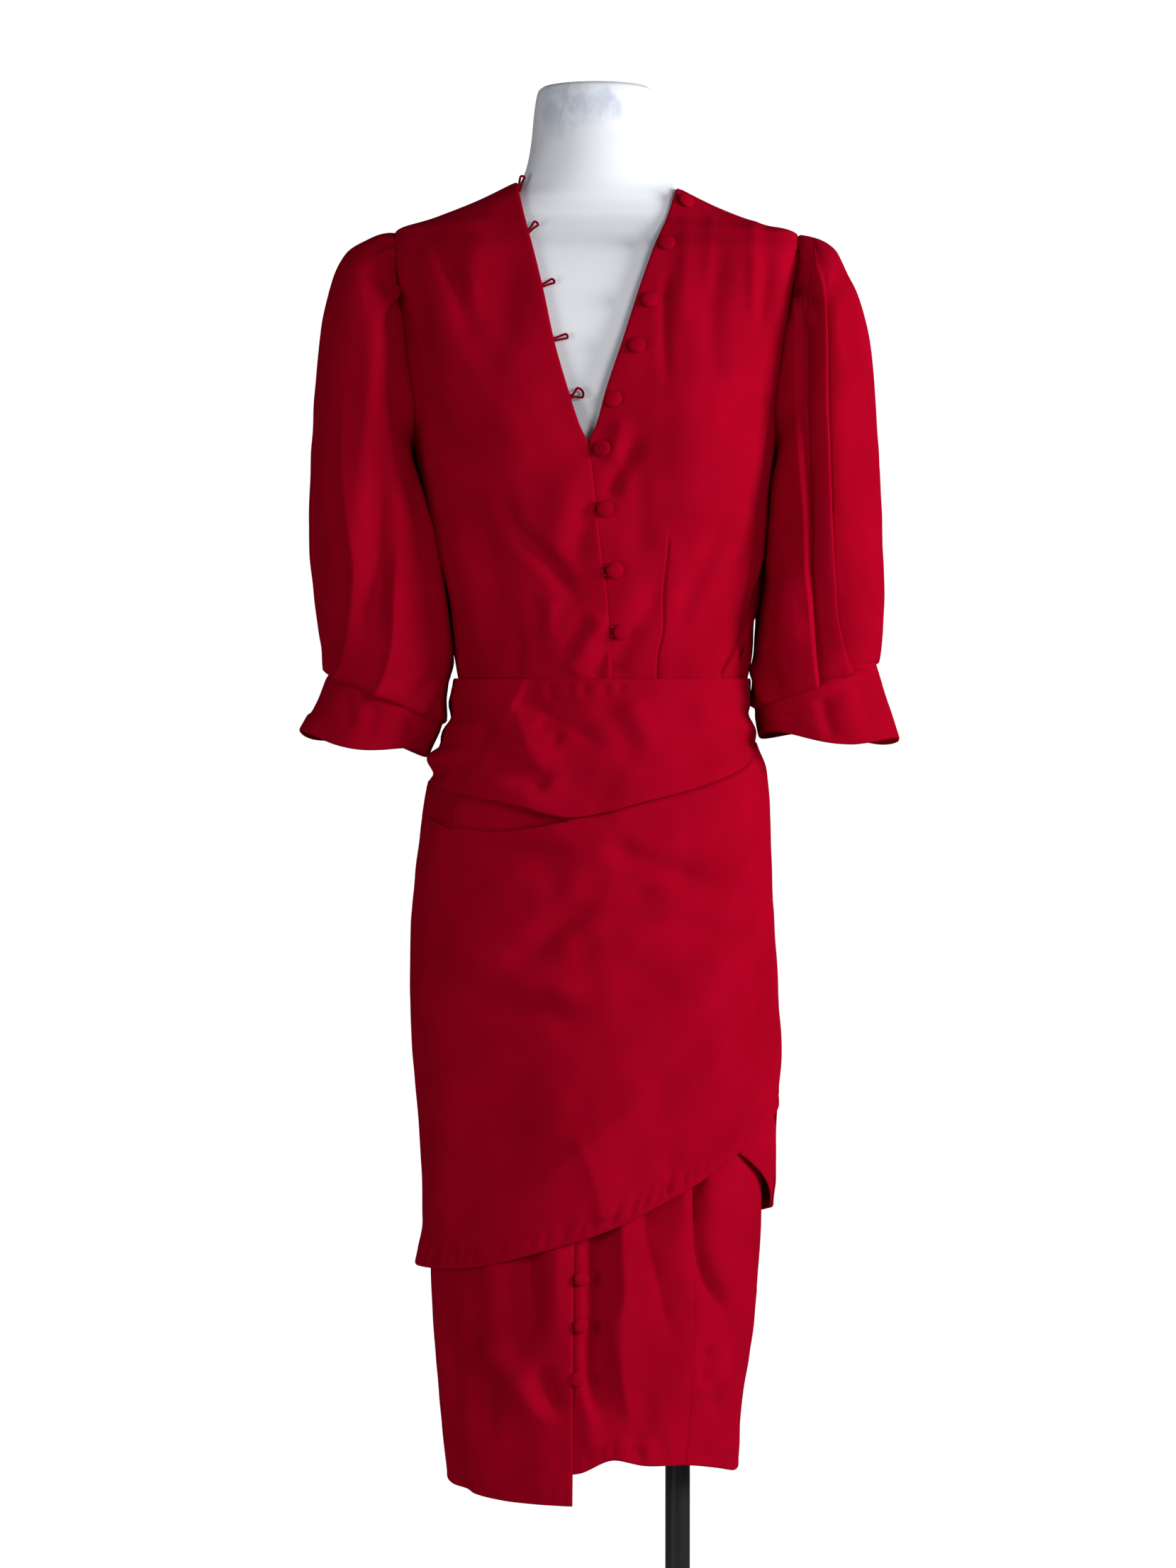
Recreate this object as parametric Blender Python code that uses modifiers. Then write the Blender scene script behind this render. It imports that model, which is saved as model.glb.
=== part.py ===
"""A midi dress with a button-through front, worn by a limbless torso form on a pole stand.

Run it in Blender 4.5: blender --background --python part.py
Units are metres, +Z is up, the dress faces -Y and the floor is z = 0. The wearer's right is -X.
Angles turn round the upright axis from centre front (0) towards the wearer's left (90).
"""
import math
from collections import namedtuple

import bmesh
import bpy
from mathutils import Matrix, Vector

# ---------------------------------------------------------------- driving dimensions
CLOTH = 0.0012              # wall of every cloth piece
SEAM_GAP = 0.0003           # free space left at each seam
LAP_LIFT = 0.0026           # how far the right front stands off the left front that it laps
WAIST_Z = 1.030             # top edge of the draped overskirt
WAIST_SEAM_Z = 1.018        # bodice to underskirt, hidden under the drape
ARMPIT_Z = 1.215
SHOULDER_Z = 1.4075         # shoulder point, where the sleeve head starts
NECK_Z = 1.450              # where shoulder seam and neckline meet
BACK_NECK_DROP = 0.015      # the back neckline dips this far at its middle
SHOULDER_DROP = (0.0045, 0.0095)    # how far the right and the left neck point have sunk
SLEEVE_OFF_BODY = 0.0032    # the sleeves' middle surface stays this far off the body's
BUST_X, BUST_Z = 0.078, 1.232
BUST_WIDE, BUST_TALL = 0.044, 0.052
BUST_RISE = 0.011
SKIRT_HEM_Z = 0.352         # level hem of the underskirt's right front and back
UNDER_LAYER_TOP_Z = 0.885   # the under layer is sewn in from here down, hidden by the drape

POLE_X = 0.070              # the pole stands off the middle, as it shows under the hem
POLE_RADIUS = 0.0105
COLLAR_RADIUS, COLLAR_TALL = 0.0190, 0.022
FLANGE_RADIUS, FLANGE_THICK = 0.034, 0.006
BASE_RADIUS, BASE_THICK = 0.190, 0.008
EDGE_BEVEL = 0.002

BUTTON_LARGE, BUTTON_SMALL = 0.0070, 0.0061     # radii
BUTTON_SHANK = 0.0023       # free height under the button for its loop
BUTTON_DOME = 0.0034
LOOP_CORD = 0.0009          # radius of the rolled loop cord
LOOP_START = 0.0016         # a loop's ends stand this far off the cloth's edge

# ---------------------------------------------------------------- sections of body and cloth
# Half widths to the wearer's right and left, depths to the front and back, and the exponent
# of the rounded-square outline (2 is an ellipse).
Section = namedtuple("Section", "z right left front back squareness")

BODICE = [
    Section(1.0180, 0.1120, 0.1240, 0.0900, 0.0865, 2.20),
    Section(1.0300, 0.1150, 0.1270, 0.0920, 0.0885, 2.20),
    Section(1.0460, 0.1175, 0.1310, 0.0945, 0.0905, 2.20),
    Section(1.0800, 0.1245, 0.1340, 0.0985, 0.0935, 2.20),
    Section(1.1300, 0.1355, 0.1445, 0.1040, 0.0975, 2.25),
    Section(1.1800, 0.1470, 0.1495, 0.1105, 0.1005, 2.35),
    Section(1.2150, 0.1520, 0.1530, 0.1140, 0.1020, 2.45),
    Section(1.2600, 0.1580, 0.1580, 0.1120, 0.1035, 2.55),
    Section(1.3000, 0.1630, 0.1630, 0.1035, 0.1030, 2.70),
    Section(1.3500, 0.1680, 0.1680, 0.0880, 0.0970, 2.80),
    Section(1.3850, 0.1700, 0.1710, 0.0725, 0.0860, 2.70),
    Section(1.4075, 0.1680, 0.1700, 0.0570, 0.0740, 2.40),
    Section(1.4220, 0.1330, 0.1350, 0.0480, 0.0680, 2.20),
    Section(1.4370, 0.0970, 0.0990, 0.0445, 0.0660, 2.05),
    Section(1.4520, 0.0660, 0.0690, 0.0445, 0.0660, 2.00),
]

UNDERSKIRT = [
    Section(1.0180, 0.1120, 0.1240, 0.0900, 0.0865, 2.20),
    Section(0.9900, 0.1150, 0.1215, 0.0915, 0.0910, 2.20),
    Section(0.9500, 0.1250, 0.1290, 0.0955, 0.1010, 2.20),
    Section(0.9000, 0.1360, 0.1372, 0.0998, 0.1095, 2.20),
    Section(0.8500, 0.1420, 0.1405, 0.1032, 0.1125, 2.20),
    Section(0.7900, 0.1465, 0.1440, 0.1060, 0.1135, 2.15),
    Section(0.7170, 0.1460, 0.1450, 0.1075, 0.1125, 2.10),
    Section(0.6400, 0.1430, 0.1425, 0.1080, 0.1105, 2.05),
    Section(0.5600, 0.1405, 0.1385, 0.1085, 0.1090, 2.00),
    Section(0.4830, 0.1374, 0.1338, 0.1095, 0.1090, 2.00),
    Section(0.4110, 0.1314, 0.1240, 0.1105, 0.1095, 2.00),
    Section(0.3500, 0.1254, 0.1222, 0.1115, 0.1100, 2.00),
]

OVERSKIRT = [
    Section(1.0300, 0.1190, 0.1300, 0.0970, 0.0925, 2.20),
    Section(1.0090, 0.1220, 0.1295, 0.0985, 0.0955, 2.20),
    Section(0.9885, 0.1272, 0.1315, 0.1010, 0.1000, 2.20),
    Section(0.9705, 0.1345, 0.1365, 0.1035, 0.1050, 2.20),
    Section(0.9530, 0.1386, 0.1430, 0.1060, 0.1100, 2.20),
    Section(0.9270, 0.1440, 0.1464, 0.1095, 0.1155, 2.20),
    Section(0.8910, 0.1485, 0.1480, 0.1125, 0.1195, 2.20),
    Section(0.8590, 0.1526, 0.1494, 0.1145, 0.1210, 2.20),
    Section(0.8250, 0.1558, 0.1512, 0.1155, 0.1215, 2.20),
    Section(0.7890, 0.1570, 0.1536, 0.1160, 0.1210, 2.15),
    Section(0.7530, 0.1566, 0.1550, 0.1160, 0.1200, 2.15),
    Section(0.7170, 0.1548, 0.1572, 0.1160, 0.1190, 2.10),
    Section(0.6810, 0.1515, 0.1550, 0.1160, 0.1180, 2.10),
    Section(0.6450, 0.1485, 0.1540, 0.1160, 0.1175, 2.05),
    Section(0.6090, 0.1465, 0.1530, 0.1165, 0.1170, 2.05),
    Section(0.5730, 0.1464, 0.1490, 0.1170, 0.1170, 2.00),
    Section(0.5330, 0.1535, 0.1480, 0.1180, 0.1170, 2.00),
]

# The torso form, from its flat underside to the top of its neck; middle is how far back the
# centre of a section lies.
FormSection = namedtuple("FormSection", "z half front back squareness middle")
FORM = [
    FormSection(0.7850, 0.1280, 0.0920, 0.1000, 2.20, 0.000),
    FormSection(0.7900, 0.1340, 0.0970, 0.1050, 2.20, 0.000),
    FormSection(0.8020, 0.1370, 0.0990, 0.1080, 2.20, 0.000),
    FormSection(0.8500, 0.1370, 0.0985, 0.1075, 2.20, 0.000),
    FormSection(0.9000, 0.1320, 0.0955, 0.1045, 2.20, 0.000),
    FormSection(0.9500, 0.1220, 0.0910, 0.0965, 2.20, 0.000),
    FormSection(0.9900, 0.1120, 0.0865, 0.0860, 2.20, 0.000),
    FormSection(1.0300, 0.1070, 0.0840, 0.0805, 2.20, 0.000),
    FormSection(1.0800, 0.1150, 0.0890, 0.0855, 2.20, 0.000),
    FormSection(1.1300, 0.1265, 0.0945, 0.0895, 2.25, 0.000),
    FormSection(1.1800, 0.1385, 0.1005, 0.0925, 2.30, 0.000),
    FormSection(1.2150, 0.1440, 0.1035, 0.0940, 2.40, 0.000),
    FormSection(1.2600, 0.1500, 0.1020, 0.0955, 2.50, 0.000),
    FormSection(1.3000, 0.1550, 0.0940, 0.0950, 2.60, 0.000),
    FormSection(1.3500, 0.1600, 0.0795, 0.0890, 2.70, 0.000),
    FormSection(1.3830, 0.1615, 0.0650, 0.0780, 2.60, 0.000),
    FormSection(1.4030, 0.1585, 0.0500, 0.0660, 2.35, 0.000),
    FormSection(1.4175, 0.1240, 0.0410, 0.0600, 2.20, 0.000),
    FormSection(1.4310, 0.0900, 0.0380, 0.0580, 2.05, 0.001),
    FormSection(1.4440, 0.0665, 0.0395, 0.0560, 2.00, 0.004),
    FormSection(1.4570, 0.0595, 0.0420, 0.0530, 2.00, 0.007),
    FormSection(1.4720, 0.0558, 0.0435, 0.0500, 2.00, 0.009),
    FormSection(1.4880, 0.0536, 0.0440, 0.0480, 2.00, 0.010),
    FormSection(1.5050, 0.0520, 0.0440, 0.0470, 2.00, 0.010),
    FormSection(1.5190, 0.0500, 0.0430, 0.0455, 2.00, 0.010),
    FormSection(1.5255, 0.0480, 0.0412, 0.0440, 2.00, 0.010),
    FormSection(1.5280, 0.0450, 0.0385, 0.0415, 2.00, 0.010),
]

# Where the armhole seam runs, in degrees from centre front and from centre back.
Armhole = namedtuple("Armhole", "z front back")
ARMHOLE = [
    Armhole(1.2150, 90.0, 90.0),
    Armhole(1.2190, 81.0, 83.0),
    Armhole(1.2350, 74.5, 77.0),
    Armhole(1.2600, 72.0, 75.0),
    Armhole(1.3000, 74.0, 75.5),
    Armhole(1.3500, 78.0, 78.0),
    Armhole(1.3850, 81.5, 81.0),
    Armhole(1.4010, 85.5, 85.0),
    Armhole(1.4075, 90.0, 90.0),
]

# Where the edges of the two fronts run, across from the middle. The right front laps over.
Edge = namedtuple("Edge", "z right_front left_front")
FRONT_EDGE = [
    Edge(1.0180, 0.0125, -0.0060),
    Edge(1.0910, 0.0093, -0.0090),
    Edge(1.1475, 0.0022, -0.0150),
    Edge(1.1855, -0.0017, -0.0190),
    Edge(1.2206, -0.0063, -0.0064),
    Edge(1.2355, -0.0129, 0.0004),
    Edge(1.2640, -0.0222, 0.0084),
    Edge(1.3043, -0.0338, 0.0216),
    Edge(1.3520, -0.0439, 0.0366),
    Edge(1.3978, -0.0547, 0.0522),
    Edge(1.4520, -0.0665, 0.0690),
]
SKIRT_EDGE = [
    Edge(0.3500, -0.0190, -0.0390),
    Edge(0.5400, -0.0180, -0.0370),
    Edge(0.7800, -0.0020, -0.0210),
    Edge(1.0180, 0.0145, -0.0040),
]

# The left side seam is pulled forward where it enters the waist.
SideSeam = namedtuple("SideSeam", "z right left")
SIDE_SEAM = [
    SideSeam(1.0180, 90.0, 65.0),
    SideSeam(1.0300, 90.0, 67.0),
    SideSeam(1.0600, 90.0, 75.0),
    SideSeam(1.0900, 90.0, 85.0),
    SideSeam(1.1200, 90.0, 90.0),
    SideSeam(1.2150, 90.0, 90.0),
]

# The seam between the left front of the underskirt and its side panel.
PanelSeam = namedtuple("PanelSeam", "z angle")
PANEL_SEAM = [
    PanelSeam(0.3500, 40.0),
    PanelSeam(0.5000, 44.0),
    PanelSeam(0.6000, 44.0),
    PanelSeam(1.0180, 55.0),
]

# Rings of the sleeves and cuffs. Along runs from the armhole (0) to the cuff seam (1), and
# again down the cuff; outer and inner are the two side lines, and depth is half the depth.
Ring = namedtuple("Ring", "along outer outer_z inner inner_z depth")
SLEEVE = {
    "right": [
        Ring(0.00, 0.1690, 1.4075, 0.1530, 1.2150, 0.0590),
        Ring(0.05, 0.1860, 1.4040, 0.1515, 1.2100, 0.0660),
        Ring(0.10, 0.2010, 1.3950, 0.1490, 1.2050, 0.0720),
        Ring(0.16, 0.2140, 1.3790, 0.1450, 1.1960, 0.0770),
        Ring(0.24, 0.2235, 1.3550, 0.1390, 1.1830, 0.0810),
        Ring(0.36, 0.2310, 1.3150, 0.1310, 1.1630, 0.0840),
        Ring(0.48, 0.2360, 1.2650, 0.1235, 1.1400, 0.0850),
        Ring(0.62, 0.2390, 1.2050, 0.1190, 1.1120, 0.0840),
        Ring(0.75, 0.2396, 1.1500, 0.1155, 1.0850, 0.0800),
        Ring(0.86, 0.2370, 1.1050, 0.1165, 1.0550, 0.0730),
        Ring(0.93, 0.2320, 1.0700, 0.1245, 1.0260, 0.0650),
        Ring(1.00, 0.2235, 1.0370, 0.1288, 0.9925, 0.0545),
    ],
    "left": [
        Ring(0.00, 0.1710, 1.4060, 0.1530, 1.2150, 0.0590),
        Ring(0.05, 0.1830, 1.4020, 0.1530, 1.2100, 0.0660),
        Ring(0.10, 0.1965, 1.3950, 0.1520, 1.2050, 0.0720),
        Ring(0.16, 0.2085, 1.3790, 0.1495, 1.1960, 0.0770),
        Ring(0.24, 0.2200, 1.3550, 0.1450, 1.1830, 0.0810),
        Ring(0.36, 0.2300, 1.3150, 0.1410, 1.1630, 0.0840),
        Ring(0.48, 0.2355, 1.2650, 0.1385, 1.1400, 0.0850),
        Ring(0.62, 0.2395, 1.2050, 0.1375, 1.1120, 0.0840),
        Ring(0.75, 0.2420, 1.1500, 0.1345, 1.0850, 0.0800),
        Ring(0.86, 0.2435, 1.1050, 0.1325, 1.0550, 0.0730),
        Ring(0.93, 0.2425, 1.0720, 0.1330, 1.0310, 0.0650),
        Ring(1.00, 0.2365, 1.0430, 0.1345, 1.0060, 0.0545),
    ],
}
CUFF = {
    "right": [
        Ring(0.00, 0.2240, 1.0352, 0.1291, 0.9908, 0.0550),
        Ring(0.50, 0.2345, 1.0100, 0.1350, 0.9790, 0.0575),
        Ring(1.00, 0.2488, 0.9830, 0.1415, 0.9665, 0.0610),
    ],
    "left": [
        Ring(0.00, 0.2370, 1.0412, 0.1348, 1.0042, 0.0550),
        Ring(0.50, 0.2455, 1.0100, 0.1368, 0.9930, 0.0575),
        Ring(1.00, 0.2566, 0.9770, 0.1395, 0.9830, 0.0610),
    ],
}

# The deep folds of a sleeve: degrees round from its outer line (front is 90) at head and cuff.
SleeveFold = namedtuple("SleeveFold", "head cuff wide deep")
SLEEVE_FOLDS = [
    SleeveFold(28.0, 36.0, 15.0, 0.0050),
    SleeveFold(66.0, 72.0, 16.0, 0.0065),
    SleeveFold(104.0, 108.0, 15.0, 0.0060),
    SleeveFold(236.0, 246.0, 17.0, 0.0060),
    SleeveFold(282.0, 288.0, 16.0, 0.0060),
    SleeveFold(326.0, 322.0, 15.0, 0.0045),
]

# The folds that hang in the underskirt: where each lies at the top and at the hem, how wide
# it is to each side, how deep at the hem (a rise where negative), and where it starts.
SkirtFold = namedtuple("SkirtFold", "top hem wide deep start")
SKIRT_FOLDS = [
    SkirtFold(-72.0, -66.0, 11.0, 0.0040, 0.60),
    SkirtFold(-38.0, -44.0, 9.0, 0.0035, 0.56),
    SkirtFold(11.0, 20.0, 10.0, 0.0050, 0.66),
    SkirtFold(27.0, 33.0, 7.0, -0.0035, 0.66),
    SkirtFold(36.0, 46.0, 8.0, 0.0045, 0.68),
    SkirtFold(66.0, 70.0, 10.0, 0.0035, 0.60),
    SkirtFold(112.0, 108.0, 13.0, 0.0045, 0.62),
    SkirtFold(148.0, 152.0, 14.0, 0.0045, 0.62),
    SkirtFold(197.0, 194.0, 14.0, 0.0045, 0.62),
    SkirtFold(238.0, 244.0, 13.0, 0.0045, 0.62),
]

# Hems and fold lines, by the angle round the skirt.
Line = namedtuple("Line", "angle z")
SKIRT_LEFT_HEM = [
    Line(-25.0, 0.3750),
    Line(-8.0, 0.3780),
    Line(8.0, 0.3892),
    Line(20.0, 0.3840),
    Line(42.0, 0.3800),
    Line(55.0, 0.3745),
    Line(75.0, 0.3640),
    Line(90.0, 0.3600),
]
DRAPE_HEM = [
    Line(-90.0, 0.5340),
    Line(-56.0, 0.5420),
    Line(-22.0, 0.5610),
    Line(9.5, 0.5830),
    Line(26.0, 0.6000),
    Line(44.0, 0.6195),
    Line(60.0, 0.6400),
    Line(73.0, 0.6590),
    Line(90.0, 0.6720),
]
UNDER_LAYER_HEM = [
    Line(38.0, 0.6950),
    Line(60.0, 0.6400),
    Line(84.0, 0.5980),
    Line(90.0, 0.5820),
]
OVERSKIRT_BACK_HEM = [
    Line(90.0, 0.5820),
    Line(120.0, 0.5660),
    Line(180.0, 0.5500),
    Line(240.0, 0.5400),
    Line(270.0, 0.5340),
]
WAIST_DRAPE_EDGE = [
    Line(-90.0, 0.9440),
    Line(-57.0, 0.9357),
    Line(-35.0, 0.9280),
    Line(-10.6, 0.9170),
    Line(3.0, 0.9208),
    Line(16.0, 0.9277),
    Line(40.0, 0.9400),
    Line(63.0, 0.9566),
    Line(71.0, 0.9644),
    Line(90.0, 0.9760),
]
# The rolled top of the lower drape, which leaves a hollow wedge under the waist drape.
LOWER_DRAPE_ROLL = [
    Line(-90.0, 0.9180),
    Line(-68.0, 0.9140),
    Line(-57.0, 0.9094),
    Line(-44.0, 0.9077),
    Line(-26.0, 0.9120),
    Line(-10.6, 0.9172),
    Line(3.0, 0.9208),
    Line(16.0, 0.9277),
    Line(40.0, 0.9400),
    Line(63.0, 0.9566),
    Line(71.0, 0.9644),
    Line(90.0, 0.9760),
]

# Buttons: across from the middle and height.
Button = namedtuple("Button", "x z fastened")
BODICE_BUTTONS = [
    Button(0.0773, 1.4421, False),
    Button(0.0585, 1.3930, False),
    Button(0.0463, 1.3433, False),
    Button(0.0333, 1.3031, False),
    Button(0.0142, 1.2572, False),
    Button(0.0044, 1.2167, True),
    Button(0.0073, 1.1686, True),
    Button(0.0154, 1.1185, True),
    Button(0.0201, 1.0694, True),
]
SKIRT_BUTTONS = [
    Button(-0.0112, 0.5414, True),
    Button(-0.0133, 0.5028, True),
    Button(-0.0148, 0.4596, True),
]

# The loops left open on the neck edge of the right front: length, width and upward slant.
Loop = namedtuple("Loop", "z long wide rise")
OPEN_LOOPS = [
    Loop(1.4440, 0.0121, 0.0052, 76.0),
    Loop(1.4045, 0.0123, 0.0050, 43.0),
    Loop(1.3547, 0.0115, 0.0050, 25.0),
    Loop(1.3083, 0.0131, 0.0048, 16.0),
    Loop(1.2604, 0.0124, 0.0085, 23.0),
]

# Heights at which the cloth of the bodice has a row of its grid, alike in front and back.
BODICE_ROWS = [
    WAIST_SEAM_Z + SEAM_GAP, 1.040, 1.070, 1.105, 1.145, 1.185, ARMPIT_Z, 1.226, 1.244,
    1.268, 1.300, 1.335, 1.366, 1.390, 1.402, 1.4095, 1.4195, 1.434, NECK_Z,
]

# The same for the underskirt, as shares of the way from its waist seam to its hem.
SKIRT_ROWS = [0.0, 0.04, 0.09, 0.16, 0.27, 0.40, 0.52, 0.64, 0.76, 0.88, 1.0]

# Colours and roughness, as in the photograph.
RED_CREPE = ("red_crepe", (0.430, 0.006, 0.030), 0.55)
FORM_WHITE = ("form_white", (0.800, 0.810, 0.830), 0.60)
BLACK_SATIN = ("black_satin", (0.012, 0.012, 0.014), 0.35)
PLATE_GREY = ("plate_grey", (0.180, 0.180, 0.185), 0.40)


# ---------------------------------------------------------------- reading the tables
def clamp(value, low=0.0, high=1.0):
    return max(low, min(high, value))


def ease(value):
    """0 below 0 and 1 above 1, with a smooth step between."""
    value = clamp(value)
    return value * value * (3.0 - 2.0 * value)


def lerp(a, b, share):
    return a + (b - a) * share


def slopes(keys, values):
    """Slopes for a curve through the points that never overshoots them."""
    chords = [
        (values[i + 1] - values[i]) / (keys[i + 1] - keys[i])
        for i in range(len(keys) - 1)
    ]
    found = [chords[0]]
    for before, after in zip(chords, chords[1:]):
        together = before * after > 0
        found.append(2 * before * after / (before + after) if together else 0.0)
    return found + [chords[-1]]


def read_table(table, key):
    """The row of a table at a value of its first column, on a smooth curve through its rows."""
    rows = sorted(table, key=lambda row: row[0])
    keys = [row[0] for row in rows]
    key = clamp(key, keys[0], keys[-1])
    i = max(k for k in range(len(rows) - 1) if keys[k] <= key)
    step = keys[i + 1] - keys[i]
    t = (key - keys[i]) / step
    cells = []
    for column in range(1, len(rows[0])):
        values = [row[column] for row in rows]
        bend = slopes(keys, values)
        cells.append(
            values[i] * (1 + 2 * t) * (1 - t) ** 2
            + bend[i] * step * t * (1 - t) ** 2
            + values[i + 1] * t * t * (3 - 2 * t)
            + bend[i + 1] * step * t * t * (t - 1)
        )
    return type(rows[0])(key, *cells)


def spread_rows(stops, share):
    """Maps 0..1 over a list of stops, so that rows gather where the stops are close."""
    place = share * (len(stops) - 1)
    i = min(int(place + 0.000001), len(stops) - 2)
    return lerp(stops[i], stops[i + 1], place - i)


# ---------------------------------------------------------------- places on the cloth
def outline_radius(half, depth, exponent, angle):
    s, c = abs(math.sin(math.radians(angle))), abs(math.cos(math.radians(angle)))
    return ((s / half) ** exponent + (c / depth) ** exponent) ** (-1.0 / exponent)


def shoulder_drop(angle):
    """How far the neck point has sunk, from the wearer's right (-90) to the left (90)."""
    return lerp(*SHOULDER_DROP, 0.5 + 0.5 * math.sin(math.radians(angle)))


def round_point(table, angle, z, lift=0.0):
    """A point on a cloth section, in the direction of the angle and moved out by lift."""
    row = read_table(table, z)
    s, c = math.sin(math.radians(angle)), math.cos(math.radians(angle))
    half = row.left if s > 0 else row.right
    depth = row.front if c > 0 else row.back
    radius = outline_radius(half + lift, depth + lift, row.squareness, angle)
    x, y = radius * s, -radius * c
    if c > 0 and table is BODICE:
        across, up = (abs(x) - BUST_X) / BUST_WIDE, (z - BUST_Z) / BUST_TALL
        y -= BUST_RISE * math.exp(-across * across - up * up) * ease(c / 0.5)
    if table is BODICE:
        z -= shoulder_drop(angle) * ease((z - 1.380) / 0.050)
    return Vector((x, y, z))


def angle_at(table, x, z):
    """The angle at which the front of a section reaches across to x."""
    row = read_table(table, z)
    half = row.left if x > 0 else row.right
    share = clamp(abs(x) / half, 0.0, 0.9999)
    y = row.front * (1.0 - share ** row.squareness) ** (1.0 / row.squareness)
    return math.degrees(math.atan2(x, y))


def seam_step(table, angle, z):
    """Half a seam gap, in degrees, with a little to spare for the flat facets."""
    return math.degrees(0.75 * SEAM_GAP / round_point(table, angle, z).xy.length)


# ---------------------------------------------------------------- bodice
def front_side_angle(side, z):
    """The front's outer edge: side seam, then armhole, then shoulder seam."""
    if z <= ARMPIT_Z:
        return getattr(read_table(SIDE_SEAM, z), side)
    if z < SHOULDER_Z:
        return read_table(ARMHOLE, z).front
    return 90.0


def bodice_front(side):
    sign = -1.0 if side == "right" else 1.0

    def place(across, down):
        z = spread_rows(BODICE_ROWS, 1.0 - down)
        edge = read_table(FRONT_EDGE, z)
        x = edge.right_front if side == "right" else edge.left_front
        free = angle_at(BODICE, x, z)
        seam = sign * front_side_angle(side, z)
        seam -= sign * seam_step(BODICE, seam, z)
        lift = 0.0
        if side == "right":
            below_neck = 1.0 - ease((z - 1.225) / 0.05)
            lift = LAP_LIFT * below_neck * (1.0 - ease((across - 0.35) / 0.25))
        return round_point(BODICE, lerp(free, seam, across), z, lift)

    return place


def bodice_back(across, down):
    z = spread_rows(BODICE_ROWS, 1.0 - down)
    if z <= ARMPIT_Z:
        seam = read_table(SIDE_SEAM, z)
        right, left = seam.right, seam.left
    elif z < SHOULDER_Z:
        right = left = 180.0 - read_table(ARMHOLE, z).back
    else:
        right = left = 90.0
    first = left + seam_step(BODICE, left, z)
    last = 360.0 - right - seam_step(BODICE, 360.0 - right, z)
    angle = lerp(first, last, across)
    middle = max(0.0, -math.cos(math.radians(angle)))
    dip = BACK_NECK_DROP * middle * ease((z - 1.395) / (NECK_Z - 1.395))
    return round_point(BODICE, angle, z - dip)


# ---------------------------------------------------------------- sleeves and cuffs
def armhole_point(side, turn):
    """The armhole seam, turned from the shoulder point (0) by the front (90) to the armpit."""
    z = lerp(ARMPIT_Z, SHOULDER_Z, 0.5 + 0.5 * math.cos(math.radians(turn)))
    row = read_table(ARMHOLE, z)
    front = math.sin(math.radians(turn)) >= 0
    angle = row.front if front else 180.0 - row.back
    return round_point(BODICE, angle if side == "left" else -angle, z)


def ring_point(side, row, turn, lift=0.0):
    sign = -1.0 if side == "right" else 1.0
    outer = Vector((row.outer, 0.0, row.outer_z))
    inner = Vector((row.inner, 0.0, row.inner_z))
    reach = (outer - inner) / 2.0
    c, s = math.cos(math.radians(turn)), math.sin(math.radians(turn))
    outward = (reach.normalized() * c + Vector((0.0, -s, 0.0))).normalized()
    point = (outer + inner) / 2.0 + reach * c + Vector((0.0, -row.depth * s, 0.0))
    point += outward * lift
    return Vector((point.x * sign, point.y, point.z))


def sleeve_fold(turn, along):
    """How far the folds sink the sleeve: not at the head seam, and less at the cuff."""
    strength = ease(along / 0.25) * (1.0 - 0.45 * ease((along - 0.8) / 0.2))
    total = 0.0
    for fold in SLEEVE_FOLDS:
        centre = lerp(fold.head, fold.cuff, along)
        away = abs((turn - centre + 180.0) % 360.0 - 180.0) / fold.wide
        total += fold.deep * (1.0 - ease(away))
    return -total * strength


def beside_body(side, point, share=1.0):
    """Moves a point of a sleeve out to where it rests against the body; share fades it in."""
    row = read_table(BODICE if point.z > WAIST_Z else OVERSKIRT, point.z)
    half = row.right if side == "right" else row.left
    depth = row.front if point.y < 0 else row.back
    reach = clamp(abs(point.y) / depth)
    body = half * (1.0 - reach ** row.squareness) ** (1.0 / row.squareness)
    short = body + SLEEVE_OFF_BODY * share - abs(point.x)
    out = 0.5 * (short + math.sqrt(short * short + 0.000004 * share))
    point.x += math.copysign(out, point.x)
    return point


def sleeve(side):
    def place(across, down):
        turn = 360.0 * across
        along = down ** 1.3
        row = read_table(SLEEVE[side], along)
        ring = ring_point(side, row, turn, sleeve_fold(turn, along))
        head = armhole_point(side, turn)
        head.x += math.copysign(CLOTH / 2 + 2 * SEAM_GAP, head.x)
        point = head.lerp(ring, ease(along / 0.13))
        return beside_body(side, point, ease(along / 0.06)) if along > 0 else point

    return place


def cuff(side):
    def place(across, down):
        turn = 360.0 * across
        point = ring_point(side, read_table(CUFF[side], down), turn)
        point.z += 0.0035 * down * math.sin(math.radians(3 * turn + 20))
        return beside_body(side, point)

    return place


# ---------------------------------------------------------------- skirts
def skirt_fold(angle, z):
    total = 0.0
    for fold in SKIRT_FOLDS:
        grow = ease((fold.start - z) / 0.16)
        centre = lerp(fold.top, fold.hem, clamp((fold.start - z) / 0.27))
        away = abs((angle - centre + 180.0) % 360.0 - 180.0) / fold.wide
        total += fold.deep * grow * (1.0 - ease(away))
    return -total


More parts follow.
